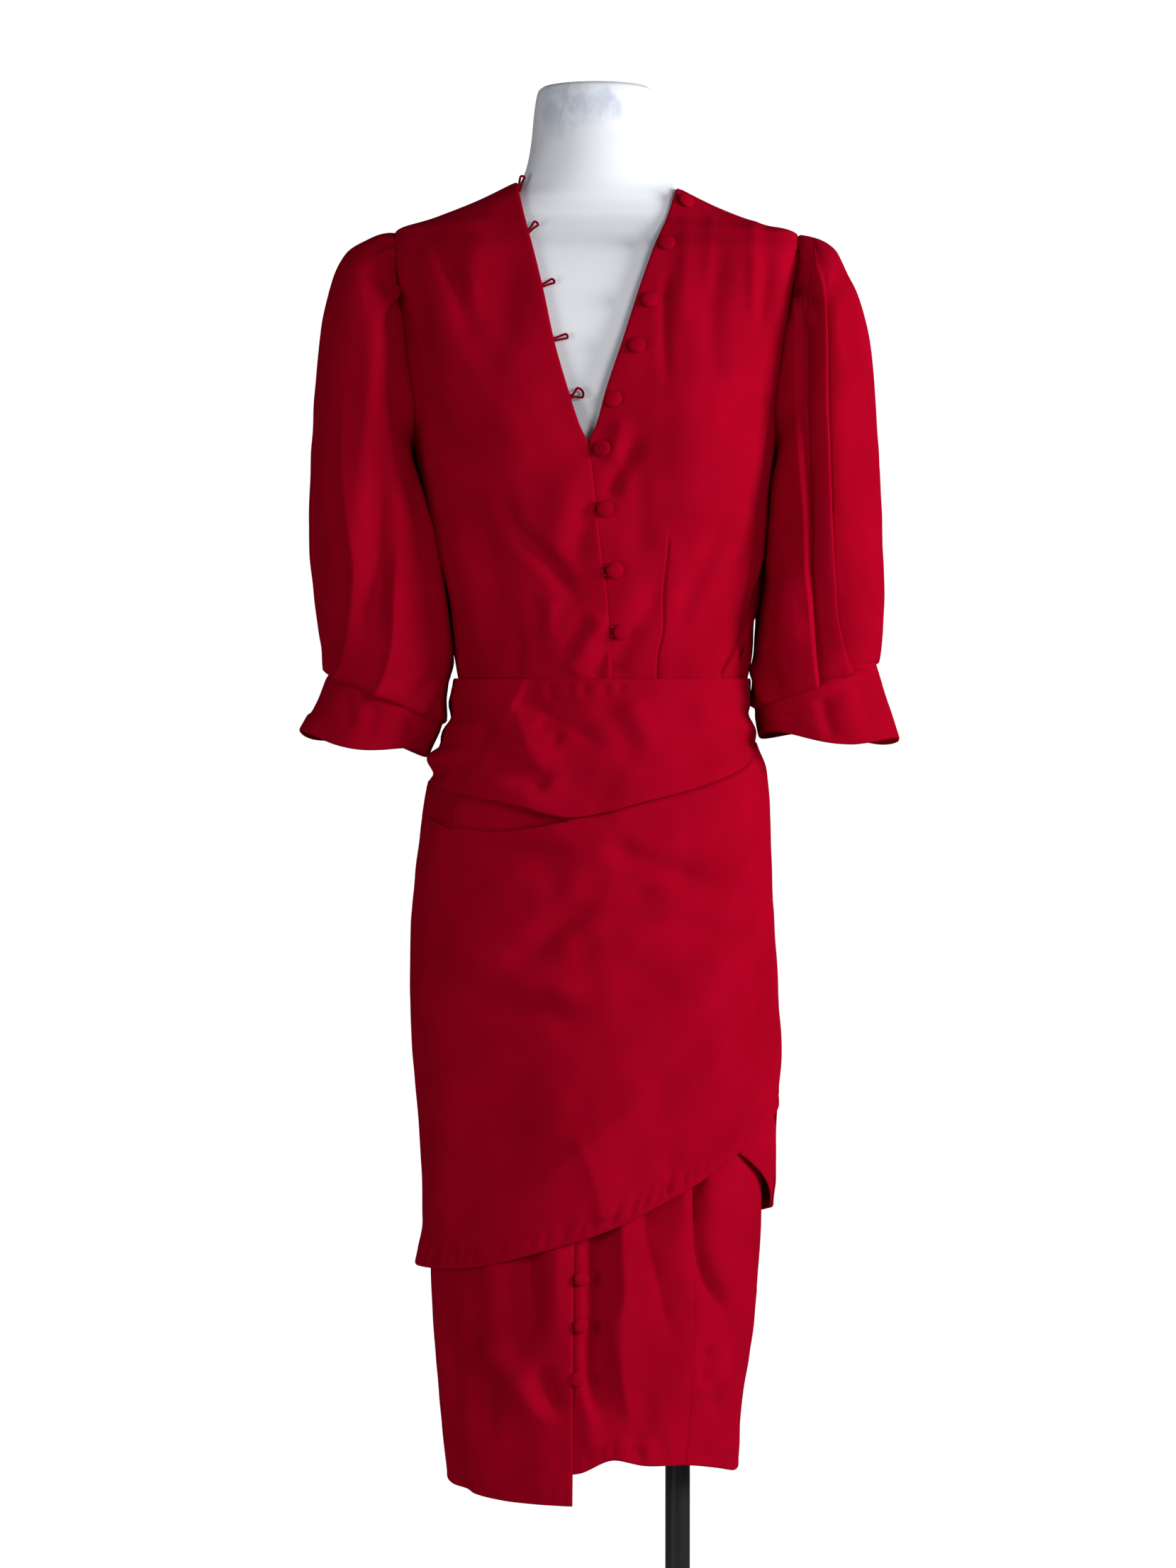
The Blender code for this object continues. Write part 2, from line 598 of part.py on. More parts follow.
def skirt_panel(from_edge, to_edge, hem, lift=None):
    """A panel of the underskirt between two seams, each an angle given by the height."""

    def place(across, down):
        top = WAIST_SEAM_Z - SEAM_GAP
        down = spread_rows(SKIRT_ROWS, down)
        rough_z = lerp(top, SKIRT_HEM_Z, down)
        first, last = from_edge(rough_z), to_edge(rough_z)
        first += seam_step(UNDERSKIRT, first, rough_z)
        last -= seam_step(UNDERSKIRT, last, rough_z)
        angle = lerp(first, last, across)
        z = lerp(top, hem(angle), down)
        raised = lift(across) if lift else 0.0
        return round_point(UNDERSKIRT, angle, z, raised + skirt_fold(angle, z))

    return place


def skirt_free_edge(z):
    return angle_at(UNDERSKIRT, read_table(SKIRT_EDGE, z).right_front, z)


def skirt_lapped_edge(z):
    return angle_at(UNDERSKIRT, read_table(SKIRT_EDGE, z).left_front, z)


def panel_seam(z):
    return read_table(PANEL_SEAM, z).angle


def side_right(_z):
    return -90.0


def side_left(_z):
    return 90.0


def side_right_from_back(_z):
    return 270.0


def level_hem(_angle):
    return SKIRT_HEM_Z


def left_hem(angle):
    return read_table(SKIRT_LEFT_HEM, angle).z


def back_hem(angle):
    return lerp(SKIRT_LEFT_HEM[-1].z, SKIRT_HEM_Z, ease((angle - 90.0) / 60.0))


def lap_over(across):
    return LAP_LIFT * ease((across - 0.35) / 0.3)


SIDE_STEP = seam_step(OVERSKIRT, 90.0, WAIST_Z)


def waist_drape(across, down):
    angle = lerp(-90.0 + SIDE_STEP, 90.0 - SIDE_STEP, across)
    z = lerp(WAIST_Z, read_table(WAIST_DRAPE_EDGE, angle).z, down)
    middle = 1.0 - ease((abs(angle) - 60.0) / 30.0)
    return round_point(OVERSKIRT, angle, z, down * lerp(0.0008, 0.0025, middle))


def lower_drape(across, down):
    """The front drape: its top is tucked under the waist drape and rolls over below it."""
    angle = lerp(-90.0 + SIDE_STEP, 90.0 - SIDE_STEP, across)
    roll = read_table(LOWER_DRAPE_ROLL, angle).z
    edge = read_table(WAIST_DRAPE_EDGE, angle).z
    hem = read_table(DRAPE_HEM, angle).z
    body_top = roll - 0.040
    stops = [max(edge, roll) + 0.010, roll + 0.001, roll - 0.006, roll - 0.016, body_top]
    stops += [lerp(body_top, hem, share) for share in (0.2, 0.4, 0.6, 0.8, 1.0)]
    z = spread_rows(stops, down)
    below = roll - z
    sides = 1.0 - ease((abs(angle) - 78.0) / 12.0)
    tuck = 0.0050 * (1.0 - ease((below + 0.001) / 0.008)) * lerp(0.8, 1.0, sides)
    lip = 0.0015 * math.exp(-((below - 0.016) / 0.014) ** 2) * sides
    return round_point(OVERSKIRT, angle, z, lip - tuck)


def under_layer(across, down):
    """Comes forward from the left side seam, under the front drape."""
    angle = lerp(38.0, 90.0 - SIDE_STEP, across)
    z = lerp(UNDER_LAYER_TOP_Z, read_table(UNDER_LAYER_HEM, angle).z, down)
    return round_point(OVERSKIRT, angle, z, -0.0038)


def overskirt_back(across, down):
    angle = lerp(90.0 + SIDE_STEP, 270.0 - SIDE_STEP, across)
    z = lerp(WAIST_Z, read_table(OVERSKIRT_BACK_HEM, angle).z, down)
    return round_point(OVERSKIRT, angle, z)


# ---------------------------------------------------------------- materials and objects
def make_material(name, colour, roughness):
    material = bpy.data.materials.new(name)
    material.use_nodes = True
    shader = material.node_tree.nodes["Principled BSDF"]
    shader.inputs["Base Color"].default_value = (*colour, 1.0)
    shader.inputs["Roughness"].default_value = roughness
    shader.inputs["Metallic"].default_value = 0.0
    return material


def clear_scene():
    for old in list(bpy.data.objects):
        bpy.data.objects.remove(old, do_unlink=True)


class Maker:
    """Adds named pieces to the dress's collection, each with its material."""

    def __init__(self):
        self.collection = bpy.data.collections.new("button_down_dress")
        bpy.context.scene.collection.children.link(self.collection)
        finishes = (RED_CREPE, FORM_WHITE, BLACK_SATIN, PLATE_GREY)
        self.materials = {row[0]: make_material(*row) for row in finishes}

    def add(self, name, data, finish):
        data.materials.append(self.materials[finish[0]])
        made = bpy.data.objects.new(name, data)
        self.collection.objects.link(made)
        return made

    def cloth(self, name, columns, rows, place, closed=False):
        """A sheet through the placed points, given its wall by a Solidify modifier."""
        piece = self.add(name, placed_grid(name, columns, rows, place, closed), RED_CREPE)
        wall = piece.modifiers.new("Wall", "SOLIDIFY")
        wall.thickness = CLOTH
        wall.offset = 0.0
        return piece

    def turned(self, name, profile, finish, steps, closed=False):
        """A profile (radius, height), given from the top down its outer side, turned round."""
        mesh = bpy.data.meshes.new(name)
        edges = [(i, i + 1) for i in range(len(profile) - 1)]
        if closed:
            edges.append((len(profile) - 1, 0))
        mesh.from_pydata([(radius, 0.0, height) for radius, height in profile], edges, [])
        piece = self.add(name, mesh, finish)
        screw = piece.modifiers.new("Turn", "SCREW")
        screw.steps = screw.render_steps = steps
        screw.use_merge_vertices = True
        screw.merge_threshold = 0.00001
        screw.use_smooth_shade = True
        return piece


def placed_grid(name, columns, rows, place, closed):
    """A grid whose points are put in place by place(across, down), both from 0 to 1."""
    mesh = bpy.data.meshes.new(name)
    bm = bmesh.new()
    bmesh.ops.create_grid(bm, x_segments=columns, y_segments=rows, size=0.5)
    for vertex in bm.verts:
        vertex.co = place(vertex.co.x + 0.5, 0.5 - vertex.co.y)
    if closed:
        bmesh.ops.remove_doubles(bm, verts=bm.verts, dist=0.00001)
    bmesh.ops.recalc_face_normals(bm, faces=bm.faces)
    bm.to_mesh(mesh)
    bm.free()
    mesh.shade_smooth()
    return mesh


# ---------------------------------------------------------------- the form and its stand
def make_form(maker):
    def place(across, down):
        row = FORM[round((1.0 - down) * (len(FORM) - 1))]
        angle = 360.0 * across
        s, c = math.sin(math.radians(angle)), math.cos(math.radians(angle))
        depth = row.front if c > 0 else row.back
        radius = outline_radius(row.half, depth, row.squareness, angle)
        sunk = ease((row.z - 1.375) / 0.04) * (1.0 - ease((row.z - 1.44) / 0.04))
        z = row.z - shoulder_drop(angle) * sunk
        return Vector((radius * s, row.middle - radius * c, z))

    mesh = placed_grid("form_torso", 28, len(FORM) - 1, place, closed=True)
    bm = bmesh.new()
    bm.from_mesh(mesh)
    open_edges = [edge for edge in bm.edges if edge.is_boundary]
    bmesh.ops.holes_fill(bm, edges=open_edges, sides=0)
    bmesh.ops.recalc_face_normals(bm, faces=bm.faces)
    bm.to_mesh(mesh)
    bm.free()
    mesh.set_sharp_from_angle(angle=math.radians(50))
    maker.add("form_torso", mesh, FORM_WHITE)


def disc_profile(radius, bottom, top):
    return [
        (0.0, top),
        (radius - EDGE_BEVEL, top),
        (radius, top - EDGE_BEVEL),
        (radius, bottom + EDGE_BEVEL / 2),
        (radius - EDGE_BEVEL / 2, bottom),
        (0.0, bottom),
    ]


def make_stand(maker):
    maker.turned("base_plate", disc_profile(BASE_RADIUS, 0.0, BASE_THICK), PLATE_GREY, 36)

    floor = BASE_THICK + SEAM_GAP
    flange_top = FORM[0].z - SEAM_GAP
    flange_low = flange_top - FLANGE_THICK
    inside = POLE_RADIUS + SEAM_GAP
    collar = [
        (inside, floor + COLLAR_TALL),
        (COLLAR_RADIUS - EDGE_BEVEL, floor + COLLAR_TALL),
        (COLLAR_RADIUS, floor + COLLAR_TALL - EDGE_BEVEL),
        (COLLAR_RADIUS, floor),
        (inside, floor),
    ]
    pole = disc_profile(POLE_RADIUS, floor, flange_low - SEAM_GAP)
    flange = disc_profile(FLANGE_RADIUS, flange_low, flange_top)
    upright = [
        maker.turned("pole_collar", collar, BLACK_SATIN, 16, closed=True),
        maker.turned("form_pole", pole, BLACK_SATIN, 16),
        maker.turned("pole_flange", flange, BLACK_SATIN, 16),
    ]
    for piece in upright:
        piece.location.x = POLE_X


# ---------------------------------------------------------------- buttons and loops
def cloth_frame(table, x, z):
    """Axes on the front cloth: across to the wearer's left, up, and outward, with a place."""
    here = round_point(table, angle_at(table, x, z), z)
    reach = 0.004
    right = round_point(table, angle_at(table, x - reach, z), z)
    left = round_point(table, angle_at(table, x + reach, z), z)
    low = round_point(table, angle_at(table, x, z - reach), z - reach)
    high = round_point(table, angle_at(table, x, z + reach), z + reach)
    across = (left - right).normalized()
    out = across.cross(high - low).normalized()
    up = out.cross(across)
    axes = Matrix((across, up, out)).transposed().to_4x4()
    return Matrix.Translation(here) @ axes


def make_button(maker, name, table, spot, radius, lift):
    shank = radius * 0.40
    profile = [
        (0.0, BUTTON_SHANK + BUTTON_DOME),
        (radius * 0.72, BUTTON_SHANK + BUTTON_DOME * 0.76),
        (radius, BUTTON_SHANK + BUTTON_DOME * 0.30),
        (radius * 0.88, BUTTON_SHANK),
        (shank, BUTTON_SHANK),
        (shank, 0.0),
        (0.0, 0.0),
    ]
    piece = maker.turned(name, profile, RED_CREPE, 10)
    base = CLOTH / 2 + 2 * SEAM_GAP + lift
    piece.matrix_world = cloth_frame(table, spot.x, spot.z) @ Matrix.Translation((0, 0, base))


def make_loop(maker, name, frame, route):
    """A cord along a route given in the frame's own axes."""
    curve = bpy.data.curves.new(name, "CURVE")
    curve.dimensions = "3D"
    curve.bevel_depth = LOOP_CORD
    curve.bevel_resolution = 1
    curve.use_fill_caps = True
    spline = curve.splines.new("POLY")
    spline.points.add(len(route) - 1)
    for point, place in zip(spline.points, route):
        point.co = (*place, 1.0)
    loop = maker.add(name, curve, RED_CREPE)
    loop.matrix_world = frame


def open_loop_route(loop):
    """A narrow bow that stands out from the cloth's edge, slanting up."""
    slant = Matrix.Rotation(math.radians(loop.rise), 3, "Z")
    half = loop.wide / 2
    straight = loop.long - half
    route = [Vector((LOOP_START, -half, 0.0)), Vector((straight * 0.55, -half, 0.0003))]
    for turn in range(-60, 61, 40):
        c, s = math.cos(math.radians(turn)), math.sin(math.radians(turn))
        route.append(Vector((straight + half * c, half * s, 0.0006)))
    route += [Vector((straight * 0.55, half, 0.0003)), Vector((LOOP_START, half, 0.0))]
    turned = [slant @ place for place in route]
    for place in turned[:2] + turned[-2:]:
        place.x = max(place.x, LOOP_START)
    return turned


def fastened_loop_route(reach, shank):
    """From the lapped edge, round behind the button's shank and back."""
    round_shank = shank + LOOP_CORD + SEAM_GAP
    start = LOOP_START - reach
    route = [Vector((start, -round_shank, 0.0))]
    for turn in range(-90, 91, 36):
        c, s = math.cos(math.radians(turn)), math.sin(math.radians(turn))
        route.append(Vector((round_shank * c, round_shank * s, 0.0)))
    route.append(Vector((start, round_shank, 0.0)))
    return route


def make_fastenings(maker, table, edges, buttons, radius, label, lift=0.0):
    """The buttons of a row, and the loop round each one that is fastened."""
    for number, spot in enumerate(buttons, 1):
        make_button(maker, f"{label}_button_{number}", table, spot, radius, lift)
        if not spot.fastened:
            continue
        reach = spot.x - read_table(edges, spot.z).right_front
        height = CLOTH / 2 + 3 * SEAM_GAP + LOOP_CORD + lift
        frame = cloth_frame(table, spot.x, spot.z) @ Matrix.Translation((0, 0, height))
        make_loop(
            maker, f"{label}_loop_{number}", frame, fastened_loop_route(reach, radius * 0.40)
        )


def make_open_loops(maker):
    for number, loop in enumerate(OPEN_LOOPS, 1):
        edge_x = read_table(FRONT_EDGE, loop.z).right_front
        frame = cloth_frame(BODICE, edge_x, loop.z)
        make_loop(maker, f"open_loop_{number}", frame, open_loop_route(loop))


# ---------------------------------------------------------------- the dress
def make_dress(maker):
    for side in ("right", "left"):
        maker.cloth(f"bodice_front_{side}", 11, len(BODICE_ROWS) - 1, bodice_front(side))
        maker.cloth(f"sleeve_{side}", 21, 12, sleeve(side), closed=True)
        maker.cloth(f"cuff_{side}", 21, 2, cuff(side), closed=True)
    maker.cloth("bodice_back", 14, len(BODICE_ROWS) - 1, bodice_back)

    right = skirt_panel(side_right, skirt_free_edge, level_hem, lap_over)
    left = skirt_panel(skirt_lapped_edge, panel_seam, left_hem)
    side = skirt_panel(panel_seam, side_left, left_hem)
    back = skirt_panel(side_left, side_right_from_back, back_hem)
    maker.cloth("skirt_front_right", 12, len(SKIRT_ROWS) - 1, right)
    maker.cloth("skirt_front_left", 10, len(SKIRT_ROWS) - 1, left)
    maker.cloth("skirt_side_left", 6, len(SKIRT_ROWS) - 1, side)
    maker.cloth("skirt_back", 18, len(SKIRT_ROWS) - 1, back)

    maker.cloth("waist_drape", 18, 4, waist_drape)
    maker.cloth("lower_drape", 18, 9, lower_drape)
    maker.cloth("under_layer", 6, 6, under_layer)
    maker.cloth("overskirt_back", 16, 8, overskirt_back)


def main():
    clear_scene()
    maker = Maker()
    make_stand(maker)
    make_form(maker)
    make_dress(maker)
    make_fastenings(maker, BODICE, FRONT_EDGE, BODICE_BUTTONS, BUTTON_LARGE, "bodice")
    make_fastenings(maker, UNDERSKIRT, SKIRT_EDGE, SKIRT_BUTTONS, BUTTON_SMALL, "skirt")
    make_open_loops(maker)


main()
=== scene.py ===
import math
from functools import partial

import bmesh
import bpy
import numpy as np
from mathutils import Matrix, Vector


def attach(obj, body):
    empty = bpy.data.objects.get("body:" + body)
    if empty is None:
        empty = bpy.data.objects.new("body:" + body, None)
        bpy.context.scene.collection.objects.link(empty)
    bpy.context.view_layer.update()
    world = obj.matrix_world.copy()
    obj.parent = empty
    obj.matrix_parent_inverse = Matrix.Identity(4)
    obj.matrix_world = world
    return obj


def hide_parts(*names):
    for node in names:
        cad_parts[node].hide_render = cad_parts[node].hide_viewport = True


# Looks of a red crepe dress with a button-through front, on a plain dress form.
# Metres, +Z up, the dress faces -Y, the wearer's right is -X. Folds are placed in millimetres,
# across from the middle and up from the floor: those of the front as the camera sees them on
# the upright plane through the middle, the others straight from behind or from the side.

print("loading the frame")
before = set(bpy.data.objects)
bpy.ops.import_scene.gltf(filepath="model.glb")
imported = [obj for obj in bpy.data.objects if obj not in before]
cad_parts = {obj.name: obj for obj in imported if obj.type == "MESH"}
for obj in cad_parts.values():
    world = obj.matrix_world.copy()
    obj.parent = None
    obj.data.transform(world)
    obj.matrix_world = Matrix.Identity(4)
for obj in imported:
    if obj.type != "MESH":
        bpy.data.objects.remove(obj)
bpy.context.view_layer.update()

camera = {
    "eye": (-0.0063, -3.0, 1.030),
    "tiltDown": 1.70,       # degrees
    "lens": 81.4,           # mm, for a picture 36 mm tall
}

cloth = {
    "wall": 0.0012,
    "lapLift": 0.0026,      # the right front stands this far off the left front
    "seamSink": 0.0006,     # how deep a seam line lies
    "seamReach": 0.0019,
    "edgeRoll": 0.0009,     # how far a folded free edge turns in
}

# sizes, as the solids have them
# z, then half widths to the wearer's right and left, depths to front and back, squareness
bodiceRows = [
    (1.0180, 0.1120, 0.1240, 0.0900, 0.0865, 2.20),
    (1.0300, 0.1150, 0.1270, 0.0920, 0.0885, 2.20),
    (1.0460, 0.1175, 0.1310, 0.0945, 0.0905, 2.20),
    (1.0800, 0.1245, 0.1340, 0.0985, 0.0935, 2.20),
    (1.1300, 0.1355, 0.1445, 0.1040, 0.0975, 2.25),
    (1.1800, 0.1470, 0.1495, 0.1105, 0.1005, 2.35),
    (1.2150, 0.1520, 0.1530, 0.1140, 0.1020, 2.45),
    (1.2600, 0.1580, 0.1580, 0.1120, 0.1035, 2.55),
    (1.3000, 0.1630, 0.1630, 0.1035, 0.1030, 2.70),
    (1.3500, 0.1680, 0.1680, 0.0880, 0.0970, 2.80),
    (1.3850, 0.1700, 0.1710, 0.0725, 0.0860, 2.70),
    (1.4075, 0.1680, 0.1700, 0.0570, 0.0740, 2.40),
    (1.4220, 0.1330, 0.1350, 0.0480, 0.0680, 2.20),
    (1.4370, 0.0970, 0.0990, 0.0445, 0.0660, 2.05),
    (1.4520, 0.0660, 0.0690, 0.0445, 0.0660, 2.00),
]
underskirtRows = [
    (1.0180, 0.1120, 0.1240, 0.0900, 0.0865, 2.20),
    (0.9900, 0.1150, 0.1215, 0.0915, 0.0910, 2.20),
    (0.9500, 0.1250, 0.1290, 0.0955, 0.1010, 2.20),
    (0.9000, 0.1360, 0.1372, 0.0998, 0.1095, 2.20),
    (0.8500, 0.1420, 0.1405, 0.1032, 0.1125, 2.20),
    (0.7900, 0.1465, 0.1440, 0.1060, 0.1135, 2.15),
    (0.7170, 0.1460, 0.1450, 0.1075, 0.1125, 2.10),
    (0.6400, 0.1430, 0.1425, 0.1080, 0.1105, 2.05),
    (0.5600, 0.1405, 0.1385, 0.1085, 0.1090, 2.00),
    (0.4830, 0.1374, 0.1338, 0.1095, 0.1090, 2.00),
    (0.4110, 0.1314, 0.1240, 0.1105, 0.1095, 2.00),
    (0.3500, 0.1254, 0.1222, 0.1115, 0.1100, 2.00),
]
overskirtRows = [
    (1.0300, 0.1190, 0.1300, 0.0970, 0.0925, 2.20),
    (1.0090, 0.1220, 0.1295, 0.0985, 0.0955, 2.20),
    (0.9885, 0.1272, 0.1315, 0.1010, 0.1000, 2.20),
    (0.9705, 0.1345, 0.1365, 0.1035, 0.1050, 2.20),
    (0.9530, 0.1386, 0.1430, 0.1060, 0.1100, 2.20),
    (0.9270, 0.1440, 0.1464, 0.1095, 0.1155, 2.20),
    (0.8910, 0.1485, 0.1480, 0.1125, 0.1195, 2.20),
    (0.8590, 0.1526, 0.1494, 0.1145, 0.1210, 2.20),
    (0.8250, 0.1558, 0.1512, 0.1155, 0.1215, 2.20),
    (0.7890, 0.1570, 0.1536, 0.1160, 0.1210, 2.15),
    (0.7530, 0.1566, 0.1550, 0.1160, 0.1200, 2.15),
    (0.7170, 0.1548, 0.1572, 0.1160, 0.1190, 2.10),
    (0.6810, 0.1515, 0.1550, 0.1160, 0.1180, 2.10),
    (0.6450, 0.1485, 0.1540, 0.1160, 0.1175, 2.05),
    (0.6090, 0.1465, 0.1530, 0.1165, 0.1170, 2.05),
    (0.5730, 0.1464, 0.1490, 0.1170, 0.1170, 2.00),
    (0.5330, 0.1535, 0.1480, 0.1180, 0.1170, 2.00),
]
# z, half width, depths to front and back, squareness, how far back the middle lies
formRows = [
    (0.7850, 0.1280, 0.0920, 0.1000, 2.20, 0.000),
    (0.7900, 0.1340, 0.0970, 0.1050, 2.20, 0.000),
    (0.8020, 0.1370, 0.0990, 0.1080, 2.20, 0.000),
    (0.8500, 0.1370, 0.0985, 0.1075, 2.20, 0.000),
    (0.9000, 0.1320, 0.0955, 0.1045, 2.20, 0.000),
    (0.9500, 0.1220, 0.0910, 0.0965, 2.20, 0.000),
    (0.9900, 0.1120, 0.0865, 0.0860, 2.20, 0.000),
    (1.0300, 0.1070, 0.0840, 0.0805, 2.20, 0.000),
    (1.0800, 0.1150, 0.0890, 0.0855, 2.20, 0.000),
    (1.1300, 0.1265, 0.0945, 0.0895, 2.25, 0.000),
    (1.1800, 0.1385, 0.1005, 0.0925, 2.30, 0.000),
    (1.2150, 0.1440, 0.1035, 0.0940, 2.40, 0.000),
    (1.2600, 0.1500, 0.1020, 0.0955, 2.50, 0.000),
    (1.3000, 0.1550, 0.0940, 0.0950, 2.60, 0.000),
    (1.3500, 0.1600, 0.0795, 0.0890, 2.70, 0.000),
    (1.3830, 0.1615, 0.0650, 0.0780, 2.60, 0.000),
    (1.4030, 0.1585, 0.0500, 0.0660, 2.35, 0.000),
    (1.4175, 0.1240, 0.0410, 0.0600, 2.20, 0.000),
    (1.4310, 0.0900, 0.0380, 0.0580, 2.05, 0.001),
    (1.4440, 0.0665, 0.0395, 0.0560, 2.00, 0.004),
    (1.4570, 0.0595, 0.0420, 0.0530, 2.00, 0.007),
    (1.4720, 0.0558, 0.0435, 0.0500, 2.00, 0.009),
    (1.4880, 0.0536, 0.0440, 0.0480, 2.00, 0.010),
    (1.5050, 0.0520, 0.0440, 0.0470, 2.00, 0.010),
    (1.5190, 0.0500, 0.0430, 0.0455, 2.00, 0.010),
    (1.5255, 0.0480, 0.0412, 0.0440, 2.00, 0.010),
    (1.5280, 0.0450, 0.0385, 0.0415, 2.00, 0.010),
]
# z, degrees of the armhole seam from centre front and from centre back
armholeRows = [
    (1.2150, 90.0, 90.0),
    (1.2190, 81.0, 83.0),
    (1.2350, 74.5, 77.0),
    (1.2600, 72.0, 75.0),
    (1.3000, 74.0, 75.5),
    (1.3500, 78.0, 78.0),
    (1.3850, 81.5, 81.0),
    (1.4010, 85.5, 85.0),
    (1.4075, 90.0, 90.0),
]
# z, how far across the edges of the right and the left front lie
frontEdgeRows = [
    (1.0180, 0.0125, -0.0060),
    (1.0910, 0.0093, -0.0090),
    (1.1475, 0.0022, -0.0150),
    (1.1855, -0.0017, -0.0190),
    (1.2206, -0.0063, -0.0064),
    (1.2355, -0.0129, 0.0004),
    (1.2640, -0.0222, 0.0084),
    (1.3043, -0.0338, 0.0216),
    (1.3520, -0.0439, 0.0366),
    (1.3978, -0.0547, 0.0522),
    (1.4520, -0.0665, 0.0690),
]
skirtEdgeRows = [
    (0.3500, -0.0190, -0.0390),
    (0.5400, -0.0180, -0.0370),
    (0.7800, -0.0020, -0.0210),
    (1.0180, 0.0145, -0.0040),
]
# z, degrees of the side seams, right and left
sideSeamRows = [
    (1.0180, 90.0, 65.0),
    (1.0300, 90.0, 67.0),
    (1.0600, 90.0, 75.0),
    (1.0900, 90.0, 85.0),
    (1.1200, 90.0, 90.0),
    (1.2150, 90.0, 90.0),
]
panelSeamRows = [(0.3500, 40.0), (0.5000, 44.0), (0.6000, 44.0), (1.0180, 55.0)]
# share of the way down, outer line and its z, inner line and its z, half depth
sleeveRows = {
    "right": [
        (0.00, 0.1690, 1.4075, 0.1530, 1.2150, 0.0590),
        (0.05, 0.1860, 1.4040, 0.1515, 1.2100, 0.0660),
        (0.10, 0.2010, 1.3950, 0.1490, 1.2050, 0.0720),
        (0.16, 0.2140, 1.3790, 0.1450, 1.1960, 0.0770),
        (0.24, 0.2235, 1.3550, 0.1390, 1.1830, 0.0810),
        (0.36, 0.2310, 1.3150, 0.1310, 1.1630, 0.0840),
        (0.48, 0.2360, 1.2650, 0.1235, 1.1400, 0.0850),
        (0.62, 0.2390, 1.2050, 0.1190, 1.1120, 0.0840),
        (0.75, 0.2396, 1.1500, 0.1155, 1.0850, 0.0800),
        (0.86, 0.2370, 1.1050, 0.1165, 1.0550, 0.0730),
        (0.93, 0.2320, 1.0700, 0.1245, 1.0260, 0.0650),
        (1.00, 0.2240, 1.0352, 0.1291, 0.9908, 0.0550),
    ],
    "left": [
        (0.00, 0.1710, 1.4060, 0.1530, 1.2150, 0.0590),
        (0.05, 0.1830, 1.4020, 0.1530, 1.2100, 0.0660),
        (0.10, 0.1965, 1.3950, 0.1520, 1.2050, 0.0720),
        (0.16, 0.2085, 1.3790, 0.1495, 1.1960, 0.0770),
        (0.24, 0.2200, 1.3550, 0.1450, 1.1830, 0.0810),
        (0.36, 0.2300, 1.3150, 0.1410, 1.1630, 0.0840),
        (0.48, 0.2355, 1.2650, 0.1385, 1.1400, 0.0850),
        (0.62, 0.2395, 1.2050, 0.1375, 1.1120, 0.0840),
        (0.75, 0.2420, 1.1500, 0.1345, 1.0850, 0.0800),
        (0.86, 0.2435, 1.1050, 0.1325, 1.0550, 0.0730),
        (0.93, 0.2425, 1.0720, 0.1330, 1.0310, 0.0650),
        (1.00, 0.2370, 1.0412, 0.1348, 1.0042, 0.0550),
    ],
}
cuffRows = {
    "right": [
        (0.00, 0.2240, 1.0352, 0.1291, 0.9908, 0.0550),
        (0.50, 0.2345, 1.0100, 0.1350, 0.9790, 0.0575),
        (1.00, 0.2488, 0.9830, 0.1415, 0.9665, 0.0610),
    ],
    "left": [
        (0.00, 0.2370, 1.0412, 0.1348, 1.0042, 0.0550),
        (0.50, 0.2455, 1.0100, 0.1368, 0.9930, 0.0575),
        (1.00, 0.2566, 0.9770, 0.1395, 0.9830, 0.0610),
    ],
}
# angle round the skirt and height of hems and fold lines
hemRows = {
    "skirtLeft": [(-25, 0.3750), (-8, 0.3780), (8, 0.3892), (20, 0.3840), (42, 0.3800),
                  (55, 0.3745), (75, 0.3640), (90, 0.3600)],
    "drape": [(-90, 0.5340), (-56, 0.5420), (-22, 0.5610), (9.5, 0.5830), (26, 0.6000),
              (44, 0.6195), (60, 0.6400), (73, 0.6590), (90, 0.6720)],
    "underLayer": [(38, 0.6950), (60, 0.6400), (84, 0.5980), (90, 0.5820)],
    "overskirtBack": [(90, 0.5820), (120, 0.5660), (180, 0.5500), (240, 0.5400), (270, 0.5340)],
    "waistDrape": [(-90, 0.9440), (-57, 0.9357), (-35, 0.9280), (-10.6, 0.9170), (3, 0.9208),
                   (16, 0.9277), (40, 0.9400), (63, 0.9566), (71, 0.9644), (90, 0.9760)],
    "roll": [(-90, 0.9180), (-68, 0.9140), (-57, 0.9094), (-44, 0.9077), (-26, 0.9120),
             (-10.6, 0.9172), (3, 0.9208), (16, 0.9277), (40, 0.9400), (63, 0.9566),
             (71, 0.9644), (90, 0.9760)],
}
heights = {
    "waist": 1.030,
    "waistSeam": 1.0177,
    "armpit": 1.215,
    "shoulder": 1.4075,
    "neck": 1.450,
    "backNeckDrop": 0.015,
    "shoulderDrop": (0.0045, 0.0095),   # right and left
    "dropFrom": 1.380,      # the shoulders drop above this height, over this rise
    "dropOver": 0.050,
    "skirtHem": 0.352,
    "underLayerTop": 0.885,
}
bust = {"x": 0.078, "z": 1.232, "wide": 0.044, "tall": 0.052, "rise": 0.011}


# curves through tables
def ease(value):
    value = np.clip(value, 0.0, 1.0)
    return value * value * (3.0 - 2.0 * value)


def mix(a, b, share):
    return a + (b - a) * share


